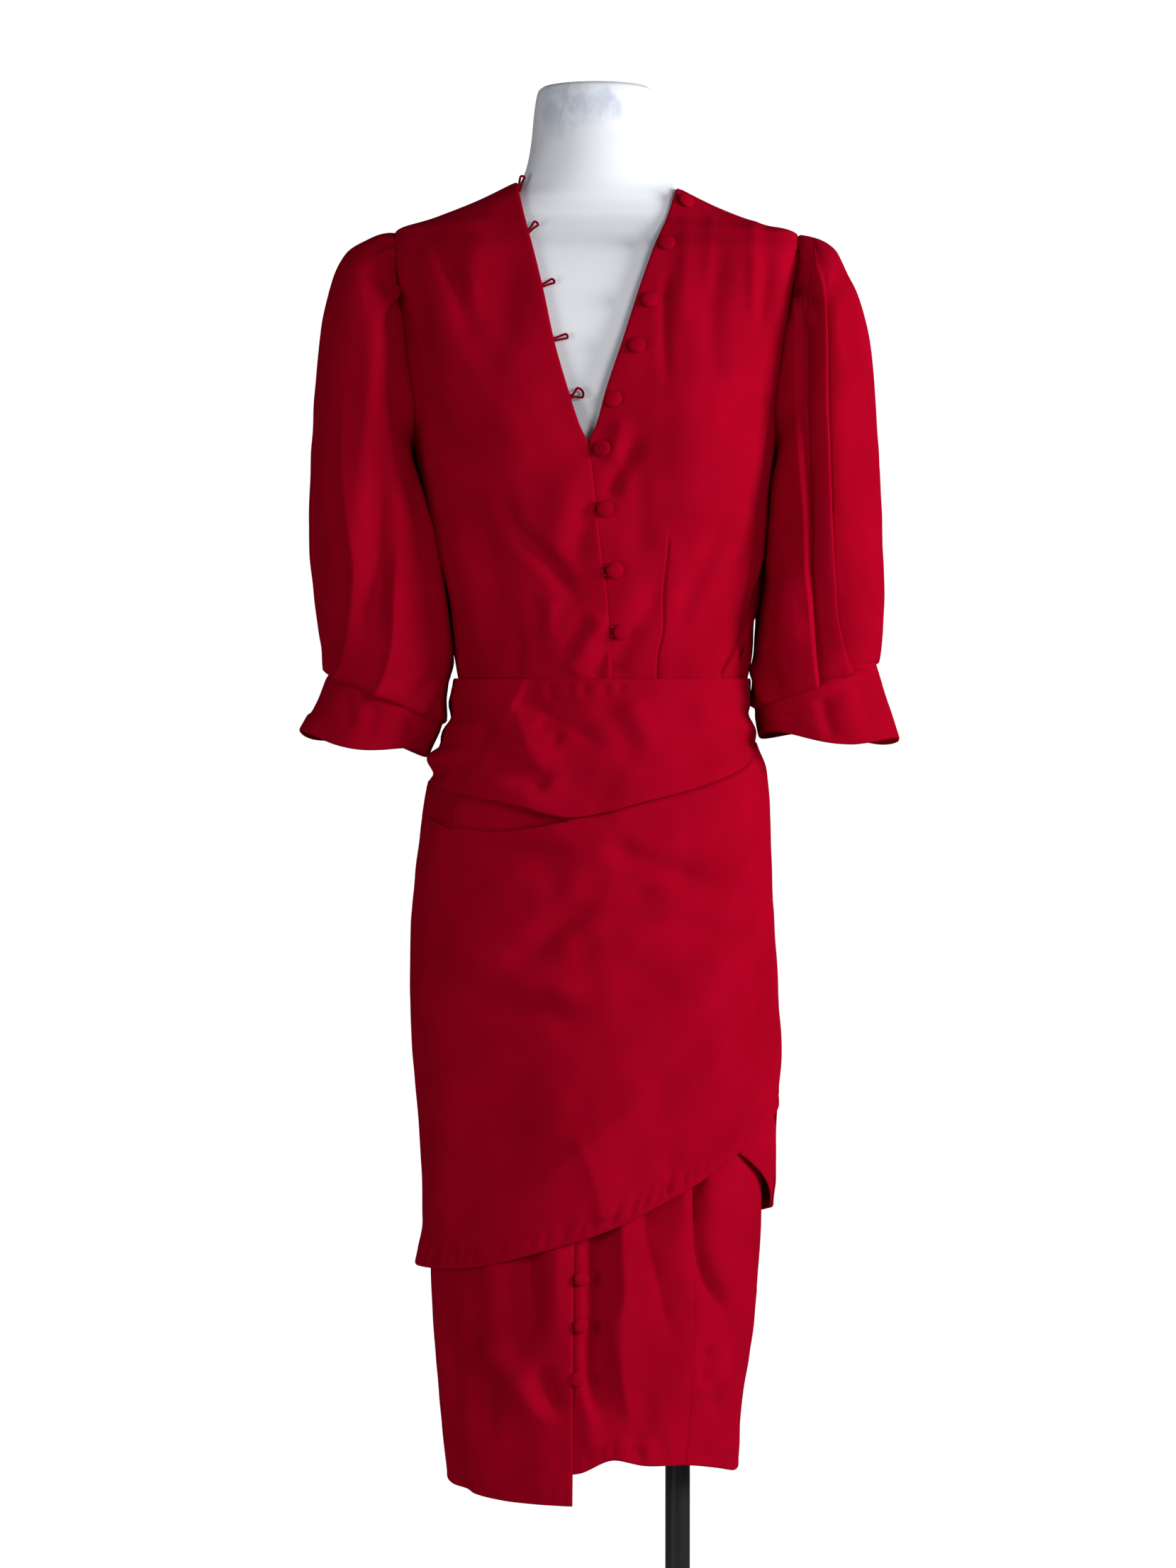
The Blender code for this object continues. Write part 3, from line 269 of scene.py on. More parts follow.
def smoothCurve(rows, column=1):  # a curve through one column that never overshoots it
    rows = sorted(rows)
    keys = np.array([row[0] for row in rows], float)
    values = np.array([row[column] for row in rows], float)
    chords = np.diff(values) / np.diff(keys)
    before, after = chords[:-1], chords[1:]
    together = before * after > 0
    total = np.where(together, before + after, 1.0)
    inner = np.where(together, 2 * before * after / total, 0.0)
    bend = np.concatenate([chords[:1], inner, chords[-1:]])

    def read(key):
        key = np.clip(key, keys[0], keys[-1])
        i = np.clip(np.searchsorted(keys, key, side="right") - 1, 0, len(keys) - 2)
        step = keys[i + 1] - keys[i]
        t = (key - keys[i]) / step
        return (values[i] * (1 + 2 * t) * (1 - t) ** 2 + bend[i] * step * t * (1 - t) ** 2
                + values[i + 1] * t * t * (3 - 2 * t) + bend[i + 1] * step * t * t * (t - 1))

    return read


class Sections:  # a stack of rounded outlines
    def __init__(self, rows):
        for column, name in enumerate(("right", "left", "front", "back", "square"), 1):
            setattr(self, name, smoothCurve(rows, column))


bodice = Sections(bodiceRows)
underskirt = Sections(underskirtRows)
overskirt = Sections(overskirtRows)
hems = {name: smoothCurve(rows) for name, rows in hemRows.items()}


def roundPoint(sections, angle, z, lift=0.0):  # angle from centre front towards the left side
    s, c = np.sin(np.radians(angle)), np.cos(np.radians(angle))
    half = np.where(s > 0, sections.left(z), sections.right(z)) + lift
    depth = np.where(c > 0, sections.front(z), sections.back(z)) + lift
    power = sections.square(z)
    radius = ((np.abs(s) / half) ** power + (np.abs(c) / depth) ** power) ** (-1.0 / power)
    x, y = radius * s, -radius * c
    if sections is bodice:
        across, up = (np.abs(x) - bust["x"]) / bust["wide"], (z - bust["z"]) / bust["tall"]
        y = y - bust["rise"] * np.exp(-across ** 2 - up ** 2) * ease(c / 0.5)
        high = ease((z - heights["dropFrom"]) / heights["dropOver"])
        z = z - mix(*heights["shoulderDrop"], 0.5 + 0.5 * s) * high
    return np.stack([x, y, z + 0.0 * x], axis=-1)


def angleAt(sections, x, z):  # the angle at which the front reaches across to x
    half = np.where(x > 0, sections.left(z), sections.right(z))
    share = np.clip(np.abs(x) / half, 0.0, 0.9999)
    power = sections.square(z)
    y = sections.front(z) * (1.0 - share ** power) ** (1.0 / power)
    return np.degrees(np.arctan2(x, y))


def spread(count, length, first=True, last=True):  # shares of a length in metres, close at ends
    close = np.array([0.0, 0.0005, 0.0011, 0.0019, 0.0030]) / length
    start = close if first else close[:1]
    end = close if last else close[:1]
    middle = np.linspace(start[-1], 1.0 - end[-1], count + 2)[1:-1]
    return np.concatenate([start, middle, 1.0 - end[::-1]])


# folds
foldScale = {"wide": 1.15, "deep": 1.60}   # every fold is made this much wider and deeper
troughShape = {
    "lips": 0.12,           # height of the raised lips against the depth
    "lipAt": 2.0,           # where they stand, and how wide, against its width
    "lipWide": 0.9,
    "coreWide": 0.40,       # width of a sharper core against its width
}
foldUsual = {
    "core": 0.0,            # share of a trough that is a sharper core
    "turn": 1,              # side of a crest or pleat that is steep, or hollow
    "round": 1.2,           # mm, how rounded a crest is
    "power": 1.5,           # how a pleat's hollow fades, 1 is an even slope
    "blend": 2.6,           # mm over which a pleat drops
    "lean": 1.6,            # mm by which it leans over its hollow, and over what width
    "leanWide": 4.0,
    "sharp": False,         # a sleeve's columns gather to a sharp fold
}


def fold(kind, wide, deep, line, fade=(0.25, 0.35), **more):
    # kind trough, ridge, crest or pleat; wide and deep in mm; line from its start, in mm;
    # fade: the shares of its length over which it starts and dies away
    wide, deep = wide * foldScale["wide"], deep * foldScale["deep"]
    usual = {"steep": 0.4 * wide, "rise": 0.5 * deep, "crest": 0.6 * wide, **foldUsual}
    return {**usual, **more, "kind": kind, "wide": wide, "deep": deep, "line": line,
            "fade": fade}


trough, ridge, crest, pleat = (partial(fold, kind)
                               for kind in ("trough", "ridge", "crest", "pleat"))


def gathers(top, rows):  # short troughs down from a seam: width, depth, start, end, end height
    return [trough(wide, deep, [(start, top), (end, low)], (0.1, 0.6))
            for wide, deep, start, end, low in rows]


def smoothLine(points, steps=6):  # more points on a smooth curve through the given ones
    points = np.array(points, float)
    ends = np.vstack([2 * points[0] - points[1], points, 2 * points[-1] - points[-2]])
    t = np.linspace(0, 1, steps, endpoint=False)[:, None]
    parts = []
    for a, b, c, d in zip(ends, ends[1:], ends[2:], ends[3:]):
        parts.append(0.5 * (2 * b + (c - a) * t + (2 * a - 5 * b + 4 * c - d) * t ** 2
                            + (3 * b - a - 3 * c + d) * t ** 3))
    return np.vstack(parts + [points[-1:]])


def nearestOn(line, places):
    # distance to the line, side (+1 to its right when it runs down), share along, direction
    best = np.full(len(places), 1e9)
    side, along = np.zeros(len(places)), np.zeros(len(places))
    across = np.zeros((len(places), 2))
    lengths = np.linalg.norm(np.diff(line, axis=0), axis=1)
    starts = np.concatenate([[0.0], np.cumsum(lengths)])
    for a, b, start, length in zip(line[:-1], line[1:], starts, lengths):
        run = (b - a) / length
        away = places - a
        t = np.clip(away @ run, 0.0, length)
        gap = away - t[:, None] * run
        distance = np.hypot(gap[:, 0], gap[:, 1])
        closer = distance < best
        best = np.where(closer, distance, best)
        side = np.where(closer, np.sign(run[0] * away[:, 1] - run[1] * away[:, 0]), side)
        along = np.where(closer, (start + t) / starts[-1], along)
        across[closer] = (-run[1], run[0])
    return best, side, along, across


def foldProfile(item, distance, side):
    wide, deep = item["wide"], item["deep"]
    if item["kind"] == "ridge":
        return deep * np.exp(-(distance / wide) ** 2)
    if item["kind"] == "trough":  # a soft hollow with slightly raised lips
        lipPlace = (distance / wide - troughShape["lipAt"]) / troughShape["lipWide"]
        lips = troughShape["lips"] * np.exp(-lipPlace ** 2)
        core = np.exp(-distance / (troughShape["coreWide"] * wide))
        return deep * (lips - mix(np.exp(-(distance / wide) ** 2), core, item["core"]))
    s = side * distance * item["turn"]  # the steep side is the one that turn names
    if item["kind"] == "crest":
        rounding = item["round"]
        width = mix(wide, item["steep"], ease(s / 2.0 + 0.5))
        return deep * np.exp(-(np.sqrt(s * s + rounding * rounding) - rounding) / width)
    rise = item["rise"] * np.exp(-(s / item["crest"]) ** 2)
    hollow = -deep * np.clip(1.0 - s / wide, 0.0, 1.0) ** item["power"]
    return mix(rise, hollow, ease(s / item["blend"] + 0.5))


def placesSeen(points, facing):
    if facing == "front":
        eyeX, eyeY, eyeZ = camera["eye"]
        scale = -eyeY / (points[..., 1] - eyeY)
        x = eyeX + (points[..., 0] - eyeX) * scale
        z = eyeZ + (points[..., 2] - eyeZ) * scale
        return np.stack([x, z], axis=-1) * 1000.0
    column = 0 if facing == "back" else 1
    return points[..., [column, 2]] * 1000.0


def foldMove(points, normals, folds, facing):
    axis, sign = {"front": (1, -1), "back": (1, 1), "left": (0, 1), "right": (0, -1)}[facing]
    facingShare = ease((sign * normals[..., axis] + 0.15) / 0.30)
    flat = placesSeen(points, facing).reshape(-1, 2)
    share = facingShare.reshape(-1)
    out = normals.reshape(-1, 3)
    move = np.zeros((len(flat), 3))
    for item in folds:
        line = smoothLine(item["line"])
        reach = 3.5 * item["wide"] + 4.0
        near = ((flat > line.min(0) - reach) & (flat < line.max(0) + reach)).all(-1) & (share > 0)
        if not near.any():
            continue
        distance, side, along, across = nearestOn(line, flat[near])
        strength = share[near]
        if item["fade"][0]:
            strength = strength * ease(along / item["fade"][0])
        if item["fade"][1]:
            strength = strength * ease((1.0 - along) / item["fade"][1])
        normal = out[near]
        move[near] += normal * (foldProfile(item, distance, side) * strength / 1000)[:, None]
        if item["kind"] == "pleat":  # its crest leans over the hollow
            turn = item["turn"]
            lean = item["lean"] * np.exp(-(distance / item["leanWide"]) ** 2)
            lean *= (side * turn < 0) * strength * turn / 1000
            deepness = -(normal[:, 0] * across[:, 0] + normal[:, 2] * across[:, 1])
            deepness = deepness * normal[:, 1] / (normal[:, 1] ** 2 + 0.05)
            way = np.stack([across[:, 0], deepness, across[:, 1]], axis=-1)
            move[near] += way * lean[:, None]
    return move.reshape(points.shape)


def unevenness(points, size, seed, stretch=(1.0, 1.0, 1.0), waves=20):  # about -1 to 1
    random = np.random.default_rng(seed)
    total = np.zeros(points.shape[:-1])
    for _ in range(waves):
        direction = random.normal(size=3)
        direction *= random.uniform(0.6, 1.5) / np.linalg.norm(direction) / np.array(stretch)
        total += np.sin(points @ direction * 2 * math.pi / size + random.uniform(0, 2 * math.pi))
    return total / math.sqrt(waves)


def surfaceNormals(points, closed):
    down = np.gradient(points, axis=0)
    if closed:
        ring = np.concatenate([points[:, -2:-1], points, points[:, 1:2]], axis=1)
        across = ring[:, 2:] - ring[:, :-2]
        middle = points.mean(axis=1, keepdims=True)
    else:
        across = np.gradient(points, axis=1)
        middle = points * (0.0, 0.0, 1.0)
    normals = np.cross(down, across)
    normals /= np.linalg.norm(normals, axis=-1, keepdims=True) + 1e-12
    facesOut = (normals * (points - middle)).sum() > 0
    return (normals if facesOut else -normals), facesOut


def edgeDistance(points, edge):  # metres from one edge, measured along the cloth
    axis = 1 if edge in ("first", "last") else 0
    order = points if edge in ("first", "top") else np.flip(points, axis)
    steps = np.linalg.norm(np.diff(order, axis=axis), axis=-1)
    zero = np.zeros_like(steps[:, :1] if axis else steps[:1])
    away = np.concatenate([zero, np.cumsum(steps, axis=axis)], axis=axis)
    return away if edge in ("first", "top") else np.flip(away, axis)


def puckers(points, edge, low, high, spacing, deep, reach, seed, part=None):
    # small hollows at uneven spacing along a hem: deepest at low to high metres from the edge
    random = np.random.default_rng(seed)
    away = edgeDistance(points, edge)
    run = edgeDistance(points, "first")
    total = np.zeros(run.shape)
    place = spacing * 0.5
    while place < run[-1].max():
        wide = reach * random.uniform(0.7, 1.3)
        slant = random.uniform(-0.35, 0.35)
        strength = deep * random.uniform(0.35, 1.0)
        if part is not None:
            strength *= part(place)
        across = np.exp(-((run - place - slant * away) / wide) ** 2)
        total -= strength * across * ease(away / low) * (1.0 - ease((away - low) / (high - low)))
        place += spacing * random.uniform(0.65, 1.4)
    return total


# materials
def newMaterial(name, colour, roughness, **sockets):
    made = bpy.data.materials.new(name)
    made.use_nodes = True
    shader = made.node_tree.nodes["Principled BSDF"]
    shader.inputs["Base Color"].default_value = (*colour, 1.0)
    shader.inputs["Roughness"].default_value = roughness
    for socket, value in sockets.items():
        shader.inputs[socket].default_value = value
    return made, made.node_tree, shader


def addNode(tree, kind, **values):
    node = tree.nodes.new(kind)
    for key, value in values.items():
        if key in node.inputs:
            node.inputs[key].default_value = value
        else:
            setattr(node, key, value)
    return node


def noiseNode(tree, source, scale, detail=2.0, roughness=0.5, stretch=(1.0, 1.0, 1.0)):
    mapping = addNode(tree, "ShaderNodeMapping")
    mapping.inputs["Scale"].default_value = stretch
    made = addNode(tree, "ShaderNodeTexNoise", Scale=scale, Detail=detail, Roughness=roughness)
    tree.links.new(source, mapping.inputs["Vector"])
    tree.links.new(mapping.outputs["Vector"], made.inputs["Vector"])
    return made.outputs["Fac"]


def rampNode(tree, source, stops):
    made = tree.nodes.new("ShaderNodeValToRGB")
    ramp = made.color_ramp
    while len(ramp.elements) < len(stops):
        ramp.elements.new(0.5)
    for element, (place, colour) in zip(ramp.elements, stops):
        element.position = place
        element.color = (*colour, 1.0)
    tree.links.new(source, made.inputs["Fac"])
    return made.outputs["Color"]


def rangeNode(tree, source, low, high):  # 0 at low, 1 at high, smooth between
    made = addNode(tree, "ShaderNodeMapRange", interpolation_type="SMOOTHSTEP")
    made.inputs["From Min"].default_value = low
    made.inputs["From Max"].default_value = high
    tree.links.new(source, made.inputs["Value"])
    return made.outputs["Result"]


def mathNode(tree, operation, *sources):
    made = addNode(tree, "ShaderNodeMath", operation=operation)
    for socket, source in zip(made.inputs, sources):
        if isinstance(source, float):
            socket.default_value = source
        else:
            tree.links.new(source, socket)
    return made.outputs[0]


def bumpNode(tree, height, strength, distance, below=None):
    made = addNode(tree, "ShaderNodeBump", Strength=strength, Distance=distance)
    tree.links.new(height, made.inputs["Height"])
    if below is not None:
        tree.links.new(below, made.inputs["Normal"])
    return made.outputs["Normal"]


crepe = {
    "deep": (0.290, 0.0008, 0.0105),
    "light": (0.360, 0.0011, 0.0150),
    "loopPaintedShade": 0.50,      # painted shade: the open loops are painted darker, for the shade on the thin cords
    "roughness": 0.56,
    "nap": {"Specular IOR Level": 0.0, "Sheen Weight": 0.05, "Sheen Roughness": 0.45,
            "Sheen Tint": (1.0, 0.01, 0.10, 1.0)},
    "patches": 14.0,        # patches of tone to a metre
    "grain": 1500.0,        # crepe pebbles to a metre
    "grainDepth": 0.00010,
    "crinkle": 110.0,
    "crinkleDepth": 0.00050,
}


def makeCrepe(name, coordinates, shade=1.0):
    made, tree, shader = newMaterial(name, crepe["light"], crepe["roughness"], **crepe["nap"])
    source = addNode(tree, "ShaderNodeTexCoord").outputs[coordinates]
    tone = noiseNode(tree, source, crepe["patches"], 3.0)
    # shade darkens both colours, as painted shade; only the open loops use it
    deep, pale = (tuple(shade * part for part in crepe[key]) for key in ("deep", "light"))
    colour = rampNode(tree, tone, [(0.30, deep), (0.70, pale)])
    tree.links.new(colour, shader.inputs["Base Color"])
    grain = noiseNode(tree, source, crepe["grain"], 2.0, 0.6, (1.0, 0.55, 1.0))
    crinkle = noiseNode(tree, source, crepe["crinkle"], 4.0, 0.55, (1.0, 0.6, 1.0))
    soft = bumpNode(tree, crinkle, 0.35, crepe["crinkleDepth"])
    fine = bumpNode(tree, grain, 0.45, crepe["grainDepth"], soft)
    tree.links.new(fine, shader.inputs["Normal"])
    return made


formStain = {
    "clean": (0.88, 0.91, 0.97),
    "smudge": (0.58, 0.64, 0.77),
    "from": 1.462,          # no smudges below this height, all of them above the next
    "full": 1.512,
    "crack": ((-0.0225, 1.5262), (-0.0330, 1.4830)),    # across and height of its two ends
    "crackWide": 0.0005,
}


def makeFormWhite():
    made, tree, shader = newMaterial("formWhite", formStain["clean"], 0.55)
    source = addNode(tree, "ShaderNodeTexCoord").outputs["Object"]
    apart = addNode(tree, "ShaderNodeSeparateXYZ")
    tree.links.new(source, apart.inputs["Vector"])
    noise = noiseNode(tree, source, 16.0, 5.0, 0.62, (1.0, 1.0, 0.7))
    high = rangeNode(tree, apart.outputs["Z"], formStain["from"], formStain["full"])
    smudge = mathNode(tree, "MULTIPLY", rangeNode(tree, noise, 0.52, 0.36), high)
    (x1, z1), (x2, z2) = formStain["crack"]
    length = math.hypot(x2 - x1, z2 - z1)
    away = addNode(tree, "ShaderNodeVectorMath", operation="DOT_PRODUCT")
    away.inputs[1].default_value = ((z2 - z1) / length, 0.0, -(x2 - x1) / length)
    tree.links.new(source, away.inputs[0])
    offset = (x1 * (z2 - z1) - z1 * (x2 - x1)) / length
    distance = mathNode(tree, "ABSOLUTE",
                        mathNode(tree, "SUBTRACT", away.outputs["Value"], offset))
    crack = rangeNode(tree, distance, formStain["crackWide"] * 2.0, 0.0)
    for share in (rangeNode(tree, apart.outputs["Z"], z2, z2 + 0.012),     # dies away below
                  rangeNode(tree, apart.outputs["Y"], 0.0, -0.004)):       # only in front
        crack = mathNode(tree, "MULTIPLY", crack, share)
    marks = mathNode(tree, "MAXIMUM", smudge, crack)
    colour = rampNode(tree, marks, [(0.0, formStain["clean"]), (1.0, formStain["smudge"])])
    tree.links.new(colour, shader.inputs["Base Color"])
    fine = noiseNode(tree, source, 420.0, 3.0)
    tree.links.new(bumpNode(tree, fine, 0.25, 0.0003), shader.inputs["Normal"])
    return made


def makePaint(name, colour, roughness, grain, depth):
    made, tree, shader = newMaterial(name, colour, roughness)
    source = addNode(tree, "ShaderNodeTexCoord").outputs["Object"]
    fine = noiseNode(tree, source, grain, 3.0)
    tint = rampNode(tree, fine, [(0.3, tuple(0.85 * part for part in colour)), (0.7, colour)])
    tree.links.new(tint, shader.inputs["Base Color"])
    tree.links.new(bumpNode(tree, fine, 0.4, depth), shader.inputs["Normal"])
    return made


print("making materials")
crepeCloth = makeCrepe("redCrepeCloth", "UV")
crepeTrim = makeCrepe("redCrepeTrim", "Object")
# the open loops get a darker copy of the crepe: painted shade
loopShadedRed = makeCrepe("redLoopCordPaintedShade", "Object", crepe["loopPaintedShade"])
formWhite = makeFormWhite()
blackSatin = makePaint("blackSatin", (0.012, 0.012, 0.014), 0.34, 900.0, 0.00006)
plateGrey = makePaint("plateGrey", (0.050, 0.050, 0.055), 0.45, 1400.0, 0.00012)


# meshes
def finishPiece(piece, material, nodes):
    piece.data.materials.append(material)
    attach(piece, "root")
    if nodes:
        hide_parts(*nodes)


def gridMesh(name, points, closed=False, reverse=False, sharp=None):
    rows, columns = points.shape[0] - 1, points.shape[1] - 1
    widths = np.linalg.norm(np.diff(points[rows // 2], axis=0), axis=-1)
    lengths = np.linalg.norm(np.diff(points[:, columns // 2], axis=0), axis=-1)
    u = np.concatenate([[0.0], np.cumsum(widths)])
    v = np.concatenate([[0.0], np.cumsum(lengths)])
    mesh = bpy.data.meshes.new(name)
    bm = bmesh.new()
    bmesh.ops.create_grid(bm, x_segments=columns, y_segments=rows, size=0.5)
    if reverse:
        bmesh.ops.reverse_faces(bm, faces=bm.faces)
    bm.to_mesh(mesh)
    flat = np.empty(len(mesh.vertices) * 3)
    mesh.vertices.foreach_get("co", flat)
    column = np.rint((flat[0::3] + 0.5) * columns).astype(int)
    row = np.rint((0.5 - flat[1::3]) * rows).astype(int)
    mesh.vertices.foreach_set("co", points[row, column].ravel())
    corner = np.empty(len(mesh.loops), int)
    mesh.loops.foreach_get("vertex_index", corner)
    layer = mesh.uv_layers.new(name="cloth")
    layer.data.foreach_set("uv", np.stack([u[column[corner]], v[row[corner]]], axis=-1).ravel())
    bm.clear()
    bm.from_mesh(mesh)
    if closed:
        bmesh.ops.remove_doubles(bm, verts=bm.verts, dist=0.00001)
    bm.to_mesh(mesh)
    bm.free()
    mesh.shade_smooth()
    if sharp:
        mesh.set_sharp_from_angle(angle=math.radians(sharp))
    return mesh


def addPiece(name, mesh):
    piece = bpy.data.objects.new(name, mesh)
    bpy.context.scene.collection.objects.link(piece)
    return piece


def sheetArea(points):
    across, down = np.diff(points, axis=1)[:-1], np.diff(points, axis=0)[:, :-1]
    return np.linalg.norm(np.cross(across, down), axis=-1).sum()


clothPieces = {}


def heldEdge(points, edge, reach=0.008):  # 0 at an edge, 1 where the cloth is free to move
    return ease(edgeDistance(points, edge) / reach)


def makeCloth(name, points, folds, closed=False, seams=(), free=(), still=(), held=heldEdge,
              calm=None, extra=None, wrinkle=0.0007):
    # points: rows of places, from the top edge down; folds: {facing: list of folds};
    # still: edges at which the cloth keeps its place, held: over what reach it does;
    # calm: where the folds are shallower; extra: what else lifts the cloth
    normals, facesOut = surfaceNormals(points, closed)
    move = np.zeros(points.shape)
    for facing, items in folds.items():
        move += foldMove(points, normals, items, facing)
    if calm is not None:
        move *= calm(points)[..., None]
    lift = wrinkle * unevenness(points, 0.080, 3, (1.0, 1.0, 1.5))
    lift += 0.35 * wrinkle * unevenness(points, 0.027, 31, (1.0, 1.0, 1.4))
    if extra is not None:
        lift += extra(points)
    for edge in still:
        loose = held(points, edge)
        lift, move = lift * loose, move * loose[..., None]
    for edge in seams:
        lift -= cloth["seamSink"] * (1.0 - ease(edgeDistance(points, edge) / cloth["seamReach"]))
    for edge in free:
        away = np.clip(edgeDistance(points, edge) / cloth["seamReach"], 0.0, 1.0)
        lift -= cloth["edgeRoll"] * (1.0 - away) ** 2
    points = points + move + normals * lift[..., None]
    piece = addPiece("cloth_" + name, gridMesh(name, points, closed, not facesOut))
    wall = piece.modifiers.new("wall", "SOLIDIFY")
    wall.thickness = cloth["wall"]
    wall.offset = 0.0
    finishPiece(piece, crepeCloth, [name])
    clothPieces[name] = {"piece": piece, "points": points,
                         "normals": surfaceNormals(points, closed)[0]}
    print(f"{name}: {len(piece.data.polygons)} faces, {sheetArea(points):.4f} m2")


def turned(name, profile, steps, place=(0.0, 0.0, 0.0), sharp=40):  # radius and height, top down
    bm = bmesh.new()
    verts = [bm.verts.new((radius, 0.0, z)) for radius, z in profile]
    edges = [bm.edges.new(pair) for pair in zip(verts, verts[1:])]
    bmesh.ops.spin(bm, geom=verts + edges, cent=(0, 0, 0), axis=(0, 0, 1), steps=steps,
                   angle=2 * math.pi, use_merge=True)
    bmesh.ops.remove_doubles(bm, verts=bm.verts, dist=0.00001)
    bmesh.ops.recalc_face_normals(bm, faces=bm.faces)
    bmesh.ops.translate(bm, verts=bm.verts, vec=place)
    mesh = bpy.data.meshes.new(name)
    bm.to_mesh(mesh)
    bm.free()
    mesh.shade_smooth()
    mesh.set_sharp_from_angle(angle=math.radians(sharp))
    return mesh


# bodice
rightFront = {
    "columns": 84,
    "folds": [
        trough(5, 2.4, [(-146, 1415), (-137, 1401), (-125, 1380), (-115, 1359), (-107, 1330)],
               (0.10, 0.45)),
        ridge(12, 3.6, [(-147, 1402), (-141, 1377), (-131, 1347), (-119, 1311), (-99, 1275),
              (-69, 1245)], (0.10, 0.50)),
        trough(12, 4.0, [(-155, 1375), (-150, 1335), (-149, 1293), (-138, 1251), (-114, 1221),
               (-84, 1197)], (0.20, 0.45)),
        ridge(8, 1.3, [(-105, 1422), (-103, 1365), (-101, 1300)], (0.05, 0.50)),
        trough(14, 2.2, [(-74, 1436), (-74, 1365), (-77, 1305), (-82, 1263)], (0.05, 0.50)),
        trough(6, 2.9, [(-77, 1194), (-71, 1164), (-57, 1146), (-39, 1128), (-24, 1108),
               (-11, 1094)], (0.25, 0.25)),
        ridge(14, 2.2, [(-15, 1221), (-24, 1185), (-30, 1149), (-33, 1122)], (0.35, 0.25)),
        trough(9, 2.2, [(-1, 1188), (-11, 1158), (-20, 1122)], (0.35, 0.35)),
        trough(5, 1.5, [(-57, 1105), (-50, 1083), (-52, 1058)]),
        ridge(6, 1.6, [(-38, 1101), (-38, 1077), (-43, 1060)]),
        ridge(7, 2.2, [(10, 1085), (-6, 1062), (-22, 1034)], (0.20, 0.10)),
        trough(5, 2.0, [(14, 1064), (6, 1047), (-1, 1030)], (0.20, 0.10)),
        trough(6, 1.8, [(-3, 1084), (-17, 1065), (-27, 1042)]),
        trough(12, 2.2, [(-102, 1176), (-92, 1137), (-84, 1095), (-77, 1038)]),
        ridge(9, 1.4, [(-116, 1165), (-108, 1125), (-99, 1080), (-92, 1036)]),
        trough(5, 1.6, [(-67, 1078), (-66, 1056), (-68, 1030)], (0.40, 0.05)),
    ],
    "side": [
        trough(9, 2.4, [(-30, 1205), (-18, 1160), (-24, 1110), (-22, 1050)]),
        ridge(8, 1.6, [(-10, 1200), (-2, 1150), (-6, 1095), (-2, 1050)]),
    ],
}
leftFront = {
    "columns": 66,
    "edgeColumns": 22,      # of them between the edge and the waist dart
    "dartColumns": 18,
    "dart": [(1.0180, 0.0500), (1.0300, 0.0505), (1.0520, 0.0515), (1.0720, 0.0555),
             (1.1060, 0.0562), (1.1390, 0.0590), (1.1530, 0.0598), (1.2300, 0.0650),
             (1.3200, 0.0800), (1.4500, 0.0850)],     # z and x of the waist dart, and on upwards
    "folds": [
        ridge(4, 2.0, [(134, 1420), (132, 1377), (133, 1341), (137, 1305)], (0.05, 0.40)),
        trough(6, 2.7, [(143, 1416), (146, 1377), (143, 1347), (138, 1308)], (0.05, 0.35)),
        ridge(6, 1.4, [(150, 1398), (155, 1365), (151, 1320)]),
        trough(9, 2.3, [(109, 1412), (101, 1365), (98, 1323), (100, 1287), (86, 1260)],
               (0.08, 0.35)),
        ridge(4, 1.4, [(98, 1421), (96, 1383), (94, 1348)], (0.05, 0.50)),
        ridge(6, 1.6, [(77, 1430), (76, 1389), (74, 1353), (73, 1303)], (0.05, 0.50)),
        trough(4, 1.5, [(60, 1380), (58, 1335), (59, 1293), (63, 1266)]),
        trough(6, 3.4, [(36, 1238), (28, 1218), (19, 1204), (11, 1180)], (0.35, 0.15)),
        ridge(6, 1.8, [(24, 1253), (17, 1221), (13, 1204)]),
        trough(9, 2.0, [(40, 1256), (36, 1215), (37, 1179), (36, 1143), (34, 1118)]),
        trough(11, 1.8, [(58, 1250), (56, 1210), (57, 1175), (60, 1150)], (0.30, 0.20)),
        trough(6, 1.5, [(66, 1071), (81, 1107), (102, 1149), (123, 1197)]),
        trough(6, 1.4, [(87, 1062), (111, 1107), (133, 1155)]),
        ridge(6, 1.2, [(78, 1066), (96, 1107), (118, 1152)]),
        trough(8, 2.0, [(59, 1122), (45, 1089), (30, 1065), (19, 1047), (12, 1030)], (0.30, 0.10)),
        pleat(7, 1.8, [(134, 1082), (126, 1065), (117, 1050), (107, 1031)], (0.25, 0.05), turn=-1,
              blend=2.0, lean=1.2),
        trough(2.5, 1.5, [(125, 1066), (124, 1034)], (0.30, 0.05)),
        trough(2.5, 1.3, [(133, 1070), (130, 1034)], (0.30, 0.05)),
    ],
    "dartFolds": [
        trough(1.1, 0.75, [(62, 1154), (61, 1139), (58, 1106), (57, 1072), (53, 1052), (52, 1029)],
               (0.08, 0.0)),
        ridge(6, 0.8, [(67, 1150), (65, 1106), (63, 1072), (59, 1030)], (0.20, 0.0)),
        trough(1.6, 0.7, [(125, 1184), (134, 1178), (144, 1174)], (0.30, 0.10)),
    ],
    "side": [
        trough(8, 2.2, [(-25, 1200), (-15, 1150), (-28, 1100), (-40, 1050)]),
        ridge(8, 1.8, [(5, 1200), (0, 1150), (-12, 1100), (-20, 1050)]),
    ],
}
